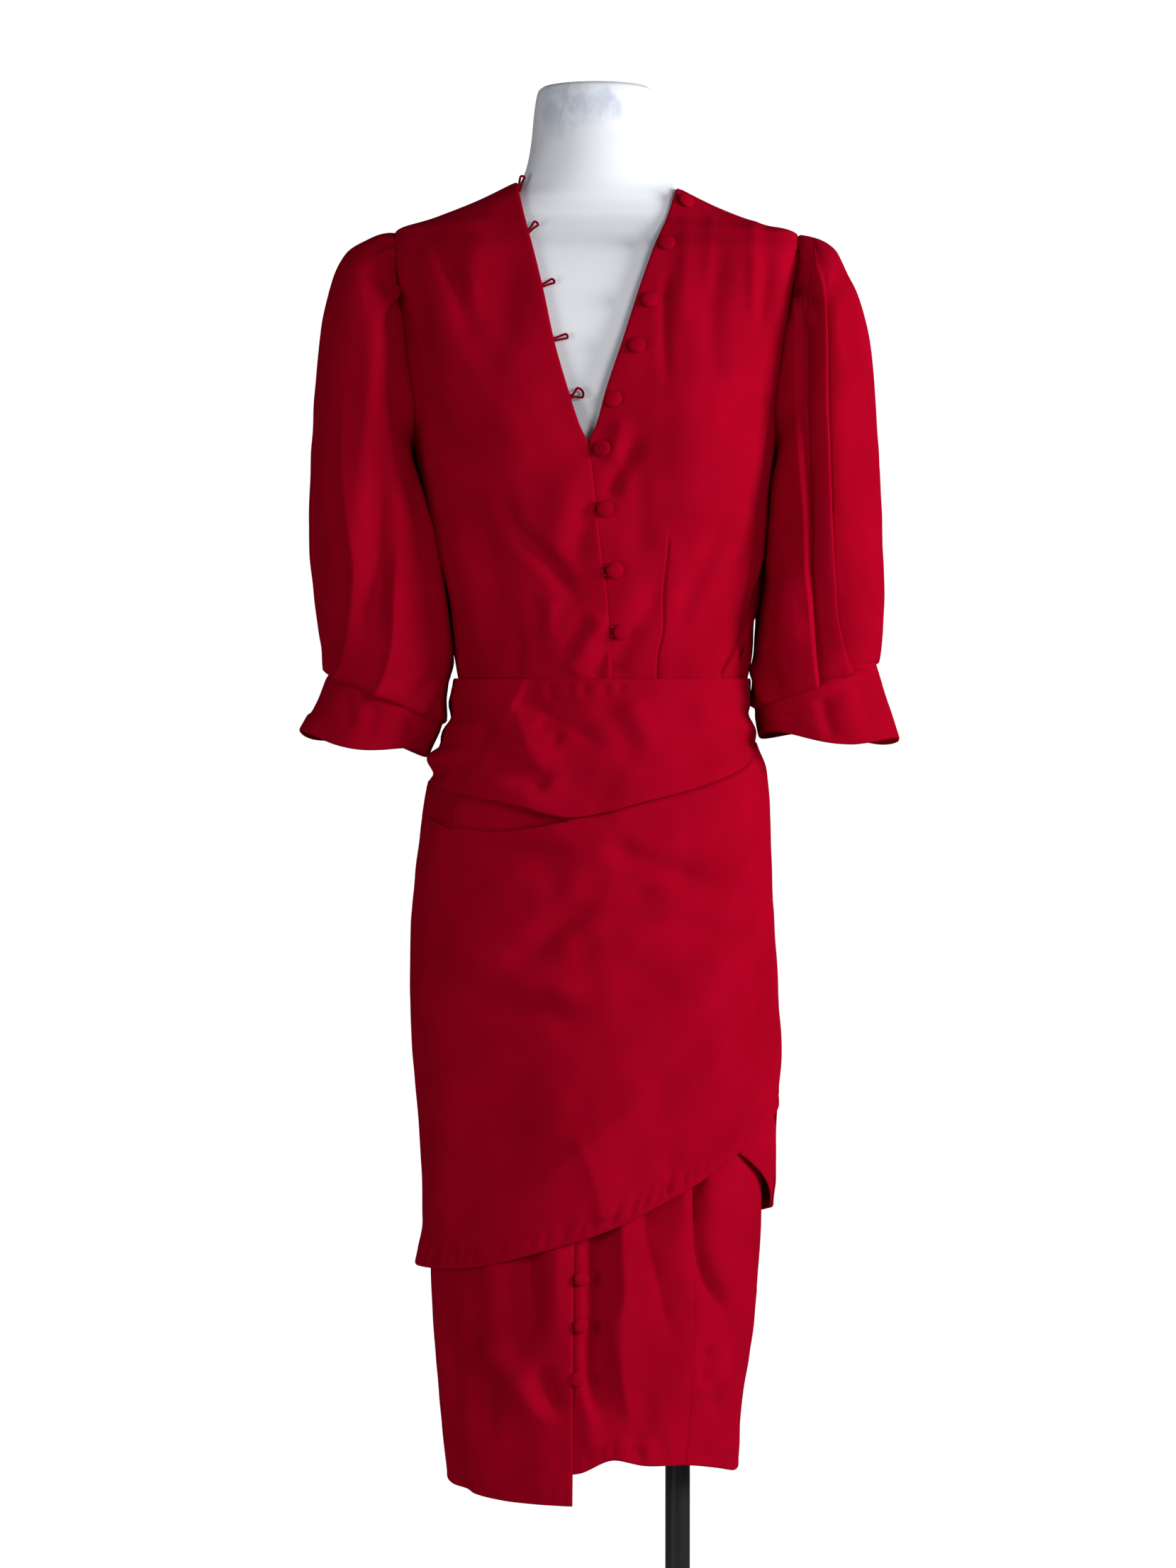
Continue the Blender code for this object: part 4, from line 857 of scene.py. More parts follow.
backFolds = [
    trough(10, 2.2, [(138, 1300), (104, 1258), (68, 1208), (36, 1150)]),
    ridge(9, 1.5, [(144, 1278), (112, 1236), (80, 1190), (54, 1140)]),
    trough(12, 2.5, [(-140, 1312), (-108, 1262), (-76, 1205), (-50, 1148)]),
    trough(7, 1.6, [(-146, 1270), (-120, 1228), (-98, 1180)]),
    trough(6, 1.8, [(44, 1126), (50, 1080), (47, 1034)], (0.4, 0.05)),
    trough(7, 2.0, [(-40, 1134), (-47, 1085), (-43, 1034)], (0.4, 0.05)),
    trough(5, 1.4, [(88, 1106), (82, 1070), (79, 1034)], (0.4, 0.05)),
    ridge(6, 1.4, [(-68, 1110), (-64, 1070), (-63, 1034)], (0.4, 0.05)),
    trough(6, 1.6, [(-94, 1104), (-88, 1065), (-84, 1034)], (0.4, 0.05)),
    ridge(26, 1.0, [(2, 1410), (4, 1300), (-3, 1200), (2, 1100)]),
    trough(8, 1.8, [(122, 1404), (112, 1366), (96, 1320)], (0.1, 0.5)),
    trough(7, 1.5, [(-108, 1408), (-104, 1374), (-92, 1330)], (0.1, 0.5)),
    trough(5, 1.4, [(-72, 1063), (-20, 1055), (32, 1064), (82, 1057)]),
    trough(6, 1.0, [(-50, 1089), (4, 1082), (62, 1091)]),
]


bodiceShape = {
    "rows": 190,
    "rowStops": [(0.22, 1.408), (0.33, 1.384)],     # shares of the rows, and the height there
    "backColumns": 100,
    "calm": (1.360, 0.035, 0.72),       # folds lose a share over a rise from a height
    "held": (1.365, 0.030, 0.008, 0.030),   # the armhole holds more cloth on the shoulder
    "freeBelow": (1.205, 0.010),            # and none below the sleeve
    "dip": 1.395,           # above this the back's neckline is lowered
    "lapHigh": (1.225, 0.05),   # the lap's lift fades up over a rise from a height
    "lapWide": (0.35, 0.25),    # and across over a share from a share
}


def bodiceHeights():  # rows from the neck down; closer together on the shoulder's slope
    top, bottom = heights["neck"], heights["waistSeam"] + 0.0006
    stops, places = zip((0.0, top), *bodiceShape["rowStops"], (1.0, bottom))
    z = np.interp(np.linspace(0.0, 1.0, bodiceShape["rows"]), stops, places)
    close = z[-1] + np.array([0.0030, 0.0019, 0.0011, 0.0005, 0.0])
    return np.concatenate([[z[0], z[0] - 0.0004, z[0] - 0.0009], z[1:-2], close])


def shoulderCalm(points):  # the cloth lies close on the shoulders
    start, rise, share = bodiceShape["calm"]
    return 1.0 - share * ease((points[..., 2] - start) / rise)


def armholeHeld(points, edge):
    start, rise, low, high = bodiceShape["held"]
    loose = heldEdge(points, edge, mix(low, high, ease((points[..., 2] - start) / rise)))
    free, over = bodiceShape["freeBelow"]
    return np.maximum(loose, 1.0 - ease((points[..., 2] - free) / over))


def frontSideAngle(side, z):
    seam = smoothCurve(sideSeamRows, 1 if side == "right" else 2)(z)
    hole = smoothCurve(armholeRows, 1)(z)
    return np.where(z <= heights["armpit"], seam, np.where(z < heights["shoulder"], hole, 90.0))


def makeBodiceFront(side, table):
    sign = -1.0 if side == "right" else 1.0
    z = bodiceHeights()[:, None]
    edge = smoothCurve(frontEdgeRows, 1 if side == "right" else 2)(z)
    free, seam = angleAt(bodice, edge, z), sign * frontSideAngle(side, z)
    across = spread(table["columns"], 0.19)[None, :]
    angle = mix(free, seam, across)
    if side == "left":  # columns gather to the waist dart, so that its line is fine
        dart = angleAt(bodice, smoothCurve(table["dart"])(z), z)
        near = 2.2 * (dart - free) / 50.0
        anchors = np.concatenate([free, dart - near, dart + near, seam], axis=1)
        first = spread(table["edgeColumns"], 0.06, True, False)
        middle = np.linspace(1.0, 2.0, table["dartColumns"] + 2)[1:-1]
        last = 2.0 + spread(table["columns"] - table["edgeColumns"], 0.12, False, True)
        stops = np.concatenate([first, middle, last])
        angle = np.stack([np.interp(stops, range(4), row) for row in anchors])
    lift = 0.0
    if side == "right":
        (start, rise), (edgeShare, fade) = bodiceShape["lapHigh"], bodiceShape["lapWide"]
        lift = cloth["lapLift"] * (1.0 - ease((z - start) / rise))
        lift = lift * (1.0 - ease((across - edgeShare) / fade))
    points = roundPoint(bodice, angle, z, lift)
    folds = {"front": table["folds"] + table.get("dartFolds", []), side: table["side"]}
    makeCloth(f"bodice_front_{side}", points, folds, still=("last",),
              free=("first", "top"), held=armholeHeld, calm=shoulderCalm)


def makeBodiceBack():
    z = bodiceHeights()[:, None]
    right, left = frontSideAngle("right", z), frontSideAngle("left", z)
    hole = 180.0 - smoothCurve(armholeRows, 2)(z)
    beside = (z > heights["armpit"]) & (z < heights["shoulder"])
    right, left = np.where(beside, hole, right), np.where(beside, hole, left)
    angle = mix(left, 360.0 - right, spread(bodiceShape["backColumns"], 0.40)[None, :])
    middle = np.clip(-np.cos(np.radians(angle)), 0.0, 1.0)
    start = bodiceShape["dip"]
    dip = heights["backNeckDrop"] * middle * ease((z - start) / (heights["neck"] - start))
    points = roundPoint(bodice, angle, z - dip)
    makeCloth("bodice_back", points, {"back": backFolds}, still=("first", "last"),
              free=("top",), held=armholeHeld, calm=shoulderCalm)


print("making the bodice")
makeBodiceFront("right", rightFront)
makeBodiceFront("left", leftFront)
makeBodiceBack()

# sleeves and cuffs
# the back's soft waves: degrees round from the outer line by the front, at head and cuff;
# width in degrees and depth
sleeveWaves = [
    (236.0, 246.0, 17.0, 0.0060),
    (282.0, 288.0, 16.0, 0.0060),
    (326.0, 322.0, 15.0, 0.0045),
    (206.0, 212.0, 12.0, 0.0030),
    (260.0, 266.0, 9.0, 0.0028),
]
sleeveFolds = {
    "right": [
        crest(9, 4.6, [(-213, 1300), (-211, 1245), (-208, 1197), (-204, 1155), (-201, 1119),
              (-203, 1083), (-209, 1047), (-216, 1026)], (0.40, 0.03), turn=-1, steep=6,
              sharp=True),
        ridge(8, 2.6, [(-172, 1372), (-182, 1335), (-188, 1293), (-192, 1245), (-196, 1185),
              (-199, 1125)], (0.12, 0.35)),
        trough(9, 3.6, [(-180, 1262), (-182, 1197), (-184, 1149), (-184, 1101), (-190, 1060)],
               (0.30, 0.12)),
        crest(11, 5.0, [(-166, 1150), (-169, 1125), (-171, 1100), (-172, 1065), (-178, 1035),
              (-189, 1008)], (0.40, 0.03), turn=-1, steep=5, sharp=True),
        trough(11, 3.6, [(-146, 1230), (-146, 1160), (-144, 1110), (-142, 1060), (-148, 1030)]),
        trough(9, 2.4, [(-166, 1320), (-166, 1262), (-160, 1200), (-154, 1150)]),
        trough(3.4, 2.6, [(-163, 1352), (-172, 1338), (-180, 1316)], (0.05, 0.50)),
        trough(3.4, 1.7, [(-168, 1398), (-182, 1393), (-199, 1379)], (0.10, 0.60)),
        trough(3.4, 1.8, [(-167, 1387), (-181, 1380), (-196, 1362)], (0.10, 0.60)),
        trough(3.4, 1.8, [(-166, 1376), (-179, 1369), (-191, 1352)], (0.10, 0.60)),
        trough(3.4, 1.6, [(-165, 1365), (-175, 1359), (-184, 1342)], (0.10, 0.60)),
        ridge(3, 1.6, [(-164, 1359), (-174, 1351), (-182, 1334)], (0.03, 0.60)),
        ridge(4, 2.2, [(-134, 1029), (-144, 1012), (-155, 998)], (0.20, 0.30)),
        trough(4, 2.0, [(-140, 1034), (-152, 1018), (-163, 1003)], (0.30, 0.20)),
        ridge(10, 1.6, [(-229, 1240), (-231, 1170), (-229, 1100)]),
    ],
    "left": [
        pleat(21, 7.0, [(171, 1361), (172, 1317), (172, 1269), (174, 1219), (177, 1168),
              (178, 1126), (182, 1092), (185, 1058), (190, 1012)], (0.10, 0.02), rise=0.8, crest=8,
              sharp=True, blend=5.0, lean=0.5, power=1.2),
        ridge(9, 3.4, [(158, 1350), (158, 1300), (155, 1250), (151, 1200), (150, 1150)],
              (0.15, 0.40)),
        pleat(26, 9.4, [(184, 1386), (193, 1364), (196, 1333), (197, 1264), (199, 1225),
              (201, 1175), (204, 1118), (207, 1079), (212, 1057), (219, 1030)], (0.12, 0.02),
              rise=0.8, crest=8, sharp=True, blend=5.0, lean=0.5, power=1.1),
        trough(8, 2.4, [(214, 1352), (218, 1318), (222, 1280)], (0.3, 0.4)),
        ridge(2.6, 2.2, [(131, 1052), (139, 1026), (148, 1012), (160, 1005)], (0.25, 0.15)),
        trough(5, 2.4, [(141, 1060), (150, 1032), (160, 1016)], (0.35, 0.20)),
        ridge(9, 2.4, [(160, 1130), (164, 1080), (167, 1040)]),
        trough(8, 3.0, [(150, 1130), (146, 1089), (143, 1050)]),
        trough(5, 3.2, [(169, 1364), (178, 1355), (187, 1340)], (0.15, 0.45)),
        ridge(5, 2.0, [(170, 1356), (178, 1338), (184, 1318)], (0.20, 0.50)),
        trough(4.0, 1.5, [(168, 1396), (182, 1391), (196, 1378)], (0.10, 0.60)),
        trough(4.0, 1.6, [(167, 1384), (178, 1381), (189, 1369)], (0.10, 0.60)),
        trough(3.6, 1.4, [(167, 1374), (176, 1371), (184, 1361)], (0.10, 0.60)),
        ridge(8, 1.6, [(209, 1372), (212, 1317), (211, 1275)], (0.20, 0.50)),
        trough(12, 2.0, [(221, 1290), (225, 1221), (223, 1161), (220, 1101), (221, 1048)]),
    ],
}
sleeveCreases = [
    trough(3, 1.9, [(168, 1396), (184, 1388), (200, 1368)], (0.05, 0.60)),
    trough(3, 2.1, [(167, 1382), (181, 1372), (194, 1350)], (0.05, 0.60)),
    trough(3, 1.8, [(166, 1368), (178, 1356), (188, 1334)], (0.05, 0.60)),
    trough(3, 1.7, [(165, 1354), (174, 1342), (181, 1322)], (0.05, 0.60)),
    trough(8, 2.4, [(172, 1330), (178, 1250), (176, 1170), (182, 1090)]),
    pleat(14, 3.6, [(206, 1300), (208, 1220), (204, 1140), (202, 1080), (206, 1035)], (0.35, 0.10),
          blend=5.0),
]


def ringPoint(rows, side, turn, down, lift=0.0):
    sign = -1.0 if side == "right" else 1.0
    outer, outerZ, inner, innerZ, depth = (smoothCurve(rows, k)(down) for k in range(1, 6))
    c, s = np.cos(np.radians(turn)), np.sin(np.radians(turn))
    reachX, reachZ = (outer - inner) / 2, (outerZ - innerZ) / 2
    size = np.hypot(reachX, reachZ)
    outX, outZ = reachX / size * c, reachZ / size * c
    length = np.sqrt(outX ** 2 + outZ ** 2 + s ** 2)
    x = (outer + inner) / 2 + reachX * c + lift * outX / length
    y = -depth * s - lift * s / length
    z = (outerZ + innerZ) / 2 + reachZ * c + lift * outZ / length
    return np.stack([x * sign, y, z], axis=-1)


def armholePoint(side, turn):
    z = mix(heights["armpit"], heights["shoulder"], 0.5 + 0.5 * np.cos(np.radians(turn)))
    front = np.sin(np.radians(turn)) >= 0
    angle = np.where(front, smoothCurve(armholeRows, 1)(z), 180 - smoothCurve(armholeRows, 2)(z))
    return roundPoint(bodice, angle if side == "left" else -angle, z)


def waveLift(turn, down):
    strength = ease(down / 0.25) * (1.0 - 0.45 * ease((down - 0.8) / 0.2))
    total = 0.0
    for head, low, wide, deep in sleeveWaves:
        away = np.abs((turn - mix(head, low, down) + 180.0) % 360.0 - 180.0) / wide
        total = total + deep * (1.0 - ease(away))
    return -total * strength


def mirrored(folds, shift):  # for the other side, and moved up
    made = []
    for item in folds:
        line = [(-x, z + shift) for x, z in item["line"]]
        made.append({**item, "line": line, "turn": -item["turn"]})
    return made


def besideBody(side, points, off):  # moves a sleeve out to where it rests against the body
    x, y, z = np.moveaxis(points, -1, 0)
    body = np.zeros(x.shape)
    for sections, inRange in ((bodice, z > heights["waist"]), (overskirt, z <= heights["waist"])):
        half = getattr(sections, side)(z)
        depth = np.where(y < 0, sections.front(z), sections.back(z))
        power = sections.square(z)
        reach = np.clip(np.abs(y) / depth, 0.0, 1.0)
        body = np.where(inRange, half * (1.0 - reach ** power) ** (1.0 / power), body)
    short = body + off - np.abs(x)
    out = 0.5 * (short + np.sqrt(short ** 2 + 0.000006 * off / sleeveShape["off"]))
    return np.stack([x + np.sign(x) * out, y, z], axis=-1)


sleeveShape = {
    "off": 0.0027,          # how far it stays off the body
    "length": 0.42,
    "head": 0.13,           # share of the length in which it takes the armhole's shape
    "rows": 150,
    # columns before, across and between the two sharp folds, then round the back
    "stops": [(0, 0), (30, 1), (56, 2), (80, 3), (106, 4), (134, 5), (184, 6)],
    "sharpHalf": 7,         # degrees each side of a sharp fold in which they are dense
    "overCuff": (0.0030, 0.004, 0.022),     # the bulge over the cuff's seam: rise, start, fade
    "held": 0.003,
    "wrinkle": 0.0008,
    "cuffColumns": 161,
    "cuffRows": 22,
}


def sleeveSurface(side, turn, down):
    ring = ringPoint(sleeveRows[side], side, turn, down, waveLift(turn, down))
    head = armholePoint(side, turn)
    points = mix(head, ring, ease(down / sleeveShape["head"])[..., None])
    return besideBody(side, points, sleeveShape["off"] * ease(down / 0.06))


def turnsOnLine(side, down, line):  # the turn at which each row meets a line on the front
    turn = np.linspace(8.0, 172.0, 165)[None, :] + 0.0 * down
    places = placesSeen(sleeveSurface(side, turn, down), "front")
    line = smoothLine(line)
    wanted = np.interp(-places[..., 1], -line[:, 1], line[:, 0])
    short = (places[..., 0] - wanted) * (-1.0 if side == "left" else 1.0)
    return np.array([np.interp(0.0, row, at) for row, at in zip(short, turn)])[:, None]


def makeSleeve(side):
    down = spread(sleeveShape["rows"], sleeveShape["length"])[:, None] ** 1.12
    sharp = [turnsOnLine(side, down, item["line"]) for item in sleeveFolds[side]
             if item["sharp"]]
    sharp.sort(key=lambda turns: turns.mean())
    start, half = 0.0 * down, sleeveShape["sharpHalf"]
    keys = np.concatenate([start, sharp[0] - half, sharp[0] + half, sharp[1] - half,
                           sharp[1] + half, start + 180, start + 360], axis=1)
    keys = np.maximum.accumulate(keys, axis=1)
    columns = np.arange(sleeveShape["stops"][-1][0] + 1)
    share = np.interp(columns, *zip(*sleeveShape["stops"]))
    turn = np.stack([np.interp(share, range(7), row) for row in keys])
    turn = (turn + np.roll(turn, 1, 0) + np.roll(turn, -1, 0)) / 3
    turn[0], turn[-1] = turn[1], turn[-2]
    points = sleeveSurface(side, turn, down + 0.0 * turn)

    def overCuff(places):  # the sleeve's fullness bulges over the cuff's seam
        away = edgeDistance(places, "bottom")
        rise, full, fade = sleeveShape["overCuff"]
        return rise * ease(away / full) * (1.0 - ease((away - full) / fade))

    def held(places, edge):
        return heldEdge(places, edge, sleeveShape["held"])

    back = sleeveCreases if side == "left" else mirrored(sleeveCreases, 6.0)
    makeCloth(f"sleeve_{side}", points, {"front": sleeveFolds[side], "back": back},
              closed=True, still=("top", "bottom"), held=held, extra=overCuff,
              wrinkle=sleeveShape["wrinkle"])


def makeCuff(side):
    turn = np.linspace(0.0, 360.0, sleeveShape["cuffColumns"])[None, :]
    down = spread(sleeveShape["cuffRows"], 0.05)[:, None]
    points = ringPoint(cuffRows[side], side, turn, down)
    points[..., 2] += 0.0035 * down * np.sin(np.radians(3 * turn + 20))     # a waved hem
    points = besideBody(side, points, sleeveShape["off"])
    makeCloth(f"cuff_{side}", points, {"front": cuffFolds[side]}, closed=True,
              still=("top",), free=("bottom",))


cuffFolds = {
    "right": [
        trough(5, 1.4, [(-212, 1020), (-209, 1000), (-210, 985)], (0.1, 0.4)),
        trough(6, 1.6, [(-186, 1008), (-190, 990), (-188, 975)], (0.1, 0.4)),
        ridge(8, 1.5, [(-236, 1000), (-243, 985)], (0.3, 0.0)),
        trough(6, 1.4, [(-158, 998), (-152, 980)], (0.1, 0.3)),
    ],
    "left": [
        trough(5, 1.5, [(192, 1015), (196, 995), (202, 978)], (0.1, 0.2)),
        trough(6, 1.5, [(222, 1028), (228, 1005), (234, 985)], (0.1, 0.3)),
        trough(6, 1.3, [(166, 1000), (164, 985)], (0.1, 0.3)),
        ridge(8, 1.6, [(210, 1020), (216, 995), (222, 975)], (0.2, 0.1)),
    ],
}

print("making the sleeves")
for sleeveSide in ("right", "left"):
    makeSleeve(sleeveSide)
    makeCuff(sleeveSide)

# overskirt
waistDrapeFolds = [
    crest(13, -3.4, [(-68, 1012), (-47, 1003), (-24, 991), (-1, 978), (16, 967)], (0.06, 0.35),
          turn=-1, steep=9, round=1.6),
    crest(20, 3.4, [(-64, 1014), (-66, 1000), (-60, 983), (-56, 971), (-47, 955), (-40, 946)],
          (0.15, 0.25), turn=1, steep=11, round=2.0),
    trough(7, 1.8, [(-52, 993), (-39, 985), (-26, 976)]),
    trough(8, 3.0, [(-96, 963), (-72, 956), (-52, 946), (-38, 936)], (0.30, 0.20)),
    ridge(8, 2.0, [(-118, 951), (-90, 941), (-62, 932), (-36, 926)], (0.20, 0.30)),
    trough(16, 2.6, [(-112, 1006), (-100, 984), (-84, 972)], (0.20, 0.40)),
    trough(9, 1.1, [(2, 1012), (16, 994), (27, 972), (31, 948)], (0.20, 0.30)),
    ridge(9, 1.4, [(22, 1012), (38, 992), (46, 966)], (0.25, 0.35)),
    trough(12, 1.3, [(-39, 946), (-6, 938), (30, 936)]),
    trough(13, 1.3, [(60, 1004), (86, 978), (104, 960)]),
    ridge(14, 1.3, [(84, 1010), (106, 992), (120, 970)]),
    trough(9, 1.9, [(-146, 1008), (-118, 1004), (-96, 1008)], (0.0, 0.6)),
    trough(9, 1.9, [(-152, 984), (-130, 982), (-104, 976)], (0.0, 0.6)),
    ridge(7, 2.0, [(-150, 996), (-130, 993), (-112, 991)], (0.0, 0.7)),
    ridge(7, 1.8, [(-156, 966), (-136, 962), (-116, 954)], (0.0, 0.7)),
] + gathers(1027, [(3.5, 0.7, -52, -54, 1010), (3.5, 0.8, -39, -37, 1008),
                   (3, 0.6, -22, -20, 1012), (4, 0.8, -8, -11, 1009), (3.5, 0.7, 8, 9, 1012),
                   (3, 0.6, 22, 20, 1014)])
lowerDrapeFolds = [
    crest(9, -2.0, [(-122, 911), (-110, 907), (-91, 904.5), (-64, 906.5), (-36, 910.5),
          (-22, 913)], (0.15, 0.05), turn=-1, steep=2.2, round=0.7),
    crest(5, -2.6, [(-141, 919), (-136, 913), (-128, 908), (-118, 905)], (0.15, 0.35), turn=-1,
          steep=3, round=0.8),
    trough(11, 3.4, [(-140, 899), (-110, 888), (-74, 882), (-34, 878), (6, 876)], (0.15, 0.30)),
    trough(9, 2.6, [(2, 893), (28, 880), (50, 871), (76, 862), (102, 852)], (0.25, 0.30)),
    trough(11, 2.1, [(60, 866), (96, 856), (126, 842), (148, 828)]),
    ridge(9, 1.2, [(22, 868), (52, 858), (84, 850)], (0.3, 0.4)),
    trough(9, 1.1, [(-46, 884), (-38, 862), (-26, 842)]),
    ridge(8, 0.5, [(-24, 868), (-17, 850), (-12, 834)]),
    trough(9, 0.9, [(22, 872), (34, 856), (44, 838)]),
    trough(9, 2.4, [(8, 834), (-14, 830), (-34, 816), (-50, 801), (-84, 786)]),
    trough(9, 1.3, [(-2, 824), (30, 826), (56, 820), (66, 800)]),
    trough(10, 1.3, [(-9, 822), (-8, 789), (-6, 752)]),
    trough(11, 2.8, [(-124, 770), (-84, 754), (-40, 746), (6, 736)], (0.25, 0.30)),
    ridge(12, 1.7, [(-122, 794), (-84, 780), (-42, 770), (4, 757)]),
    trough(12, 1.8, [(50, 826), (96, 816), (132, 802), (150, 790)]),
    trough(12, 1.0, [(-8, 792), (34, 780), (60, 762), (78, 734)]),
    crest(24, 2.2, [(92, 742), (60, 706), (34, 670), (8, 646), (-22, 622), (-66, 586)],
          (0.20, 0.20), turn=1, steep=10, round=3.0),
    crest(16, 1.8, [(-22, 650), (-8, 622), (2, 592), (6, 566)], (0.25, 0.10), turn=-1, steep=7,
          round=2.0),
    trough(10, 1.2, [(52, 704), (55, 668), (50, 636)]),
    trough(8, 1.4, [(58, 634), (68, 606)], (0.4, 0.1)),
    ridge(14, 1.2, [(96, 760), (104, 716), (92, 668)]),
    trough(16, 1.6, [(-66, 706), (-76, 652), (-64, 604)]),
    ridge(14, 1.3, [(-130, 700), (-128, 640), (-132, 580)]),
    trough(12, 1.8, [(-112, 660), (-106, 610), (-114, 560)], (0.4, 0.1)),
    ridge(9, 1.4, [(146, 690), (140, 650), (128, 622)], (0.3, 0.1)),
]
overskirtBackFolds = [
    trough(10, 2.8, [(138, 950), (66, 902), (-16, 852), (-104, 806)]),
    ridge(12, 2.6, [(142, 930), (74, 874), (-4, 814), (-92, 756)]),
    trough(12, 2.8, [(144, 908), (84, 842), (12, 772), (-72, 700)]),
    trough(7, 2.0, [(124, 994), (72, 971), (10, 957), (-64, 952)]),
    ridge(7, 1.6, [(128, 980), (66, 956), (2, 942), (-70, 934)]),
    trough(9, 2.0, [(-138, 934), (-84, 917), (-22, 906), (36, 884)]),
    trough(10, 2.0, [(62, 704), (34, 652), (12, 596)], (0.4, 0.1)),
    trough(8, 1.8, [(-82, 684), (-96, 632), (-90, 576)], (0.4, 0.1)),
    ridge(9, 1.6, [(-40, 660), (-48, 610), (-44, 570)], (0.4, 0.1)),
    trough(8, 1.6, [(110, 720), (104, 660), (112, 600)], (0.4, 0.1)),
] + gathers(1026, [(3, 1.0, -70, -72, 1004), (3, 0.9, -50, -49, 1010),
                   (3, 1.1, -24, -26, 1000), (3, 0.9, 3, 4, 1008), (3, 1.0, 30, 28, 1003),
                   (3, 0.9, 58, 61, 1010)])
# the same on both pieces that meet at a side seam; places are depth and height
waistRightFolds = [
    trough(5.0, 2.0, [(-75, 1006), (-40, 999), (0, 997), (40, 999), (75, 1004)]),
    trough(4.5, 1.6, [(-80, 981), (-40, 975), (0, 974), (40, 976), (75, 980)]),
    ridge(6.5, 1.6, [(-80, 968), (-40, 963), (0, 962), (40, 964), (75, 968)]),
    trough(4.5, 2.0, [(-80, 956), (-40, 951), (0, 950), (40, 952), (75, 955)]),
    ridge(7.0, 1.0, [(-70, 1018), (0, 1012), (70, 1016)]),
]
waistLeftFolds = [
    trough(5.0, 1.4, [(-75, 1010), (-40, 1003), (0, 1000), (40, 1002), (75, 1006)]),
    ridge(6.0, 1.2, [(-80, 996), (-40, 988), (0, 985), (40, 987), (75, 990)]),
    trough(4.5, 1.3, [(-80, 986), (-40, 978), (0, 973), (40, 972), (75, 975)]),
]


waistDrape = {"columns": 196, "rows": 44, "edgeLift": 0.0030}
lowerDrape = {
    "columns": 164,
    "rowsInRoll": 22,
    "rowsBelow": 12,
    "rows": 128,
    "over": 0.010,          # how far it goes up behind the waist drape
    "rollDrops": (0.006, 0.016, 0.040),     # how far down the rows near its roll stand
    "tuck": 0.0046,         # and how deep, with more of it near one place
    "moreTuck": {"deep": 0.0026, "at": -20.0, "wide": 16.0},
    "lip": {"rise": 0.0026, "below": 0.010, "wide": 0.014},     # the fold's soft roll
    # from and to, spacing, depth and reach of the puckers, in metres, and the seed
    "puckers": (0.009, 0.026, 0.0125, 0.0034, 0.0033, 5),
    "strongAt": [(0.17, 0.14), (0.66, 0.16)],   # shares of the hem, and how wide
    "hemLine": (0.0005, 0.0095, 0.0018),        # the stitched line: depth, place, width
}
underLayer = {
    "columns": 44,
    "rows": 70,
    "from": 38.0,           # degrees
    "shows": (45.0, 30.0),  # over which it comes out, and its hem hangs in
    "hangs": (44.0, 14.0),
    "hangsLess": (76.0, 14.0, 0.7),
    "under": 0.0038,        # how far it lies under the drape
    "comesOut": 0.0028,     # how much less where it shows
    "hemIn": 0.0036,        # how far its hem hangs in
    "topIn": 0.0045,        # clear of the drape's hollows
}
overskirtBack = {
    "columns": 116,
    "rows": 116,
    "puckers": (0.008, 0.022, 0.0135, 0.0014, 0.0036, 9),   # as the lower drape has them
}


def atSides(angle, full=62.0, none=84.0):  # 1 in front, 0 at the side seams
    return 1.0 - ease((np.abs(angle) - full) / (none - full))


def bell(value, middle, wide):
    return np.exp(-((value - middle) / wide) ** 2)


def makeWaistDrape():
    angle = mix(-90.0, 90.0, spread(waistDrape["columns"], 0.42))[None, :]
    down = spread(waistDrape["rows"], 0.09)[:, None]
    z = mix(heights["waist"], hems["waistDrape"](angle), down)
    edge = waistDrape["edgeLift"] * ease((down - 0.45) / 0.55) * atSides(angle)
    points = roundPoint(overskirt, angle, z, edge)
    folds = {"front": waistDrapeFolds, "right": waistRightFolds, "left": waistLeftFolds}
    makeCloth("waist_drape", points, folds,
              seams=("first", "last"), free=("top", "bottom"))


def drapeHemPuckers(points):
    run = edgeDistance(points, "first")[-1].max()

    def strength(place):  # strongest near the right side and where the hem climbs
        return 0.45 + sum(0.75 * bell(place / run, *spot) for spot in lowerDrape["strongAt"])

    made = puckers(points, "bottom", *lowerDrape["puckers"], strength)
    deep, place, wide = lowerDrape["hemLine"]
    return made - deep * bell(edgeDistance(points, "bottom"), place, wide)


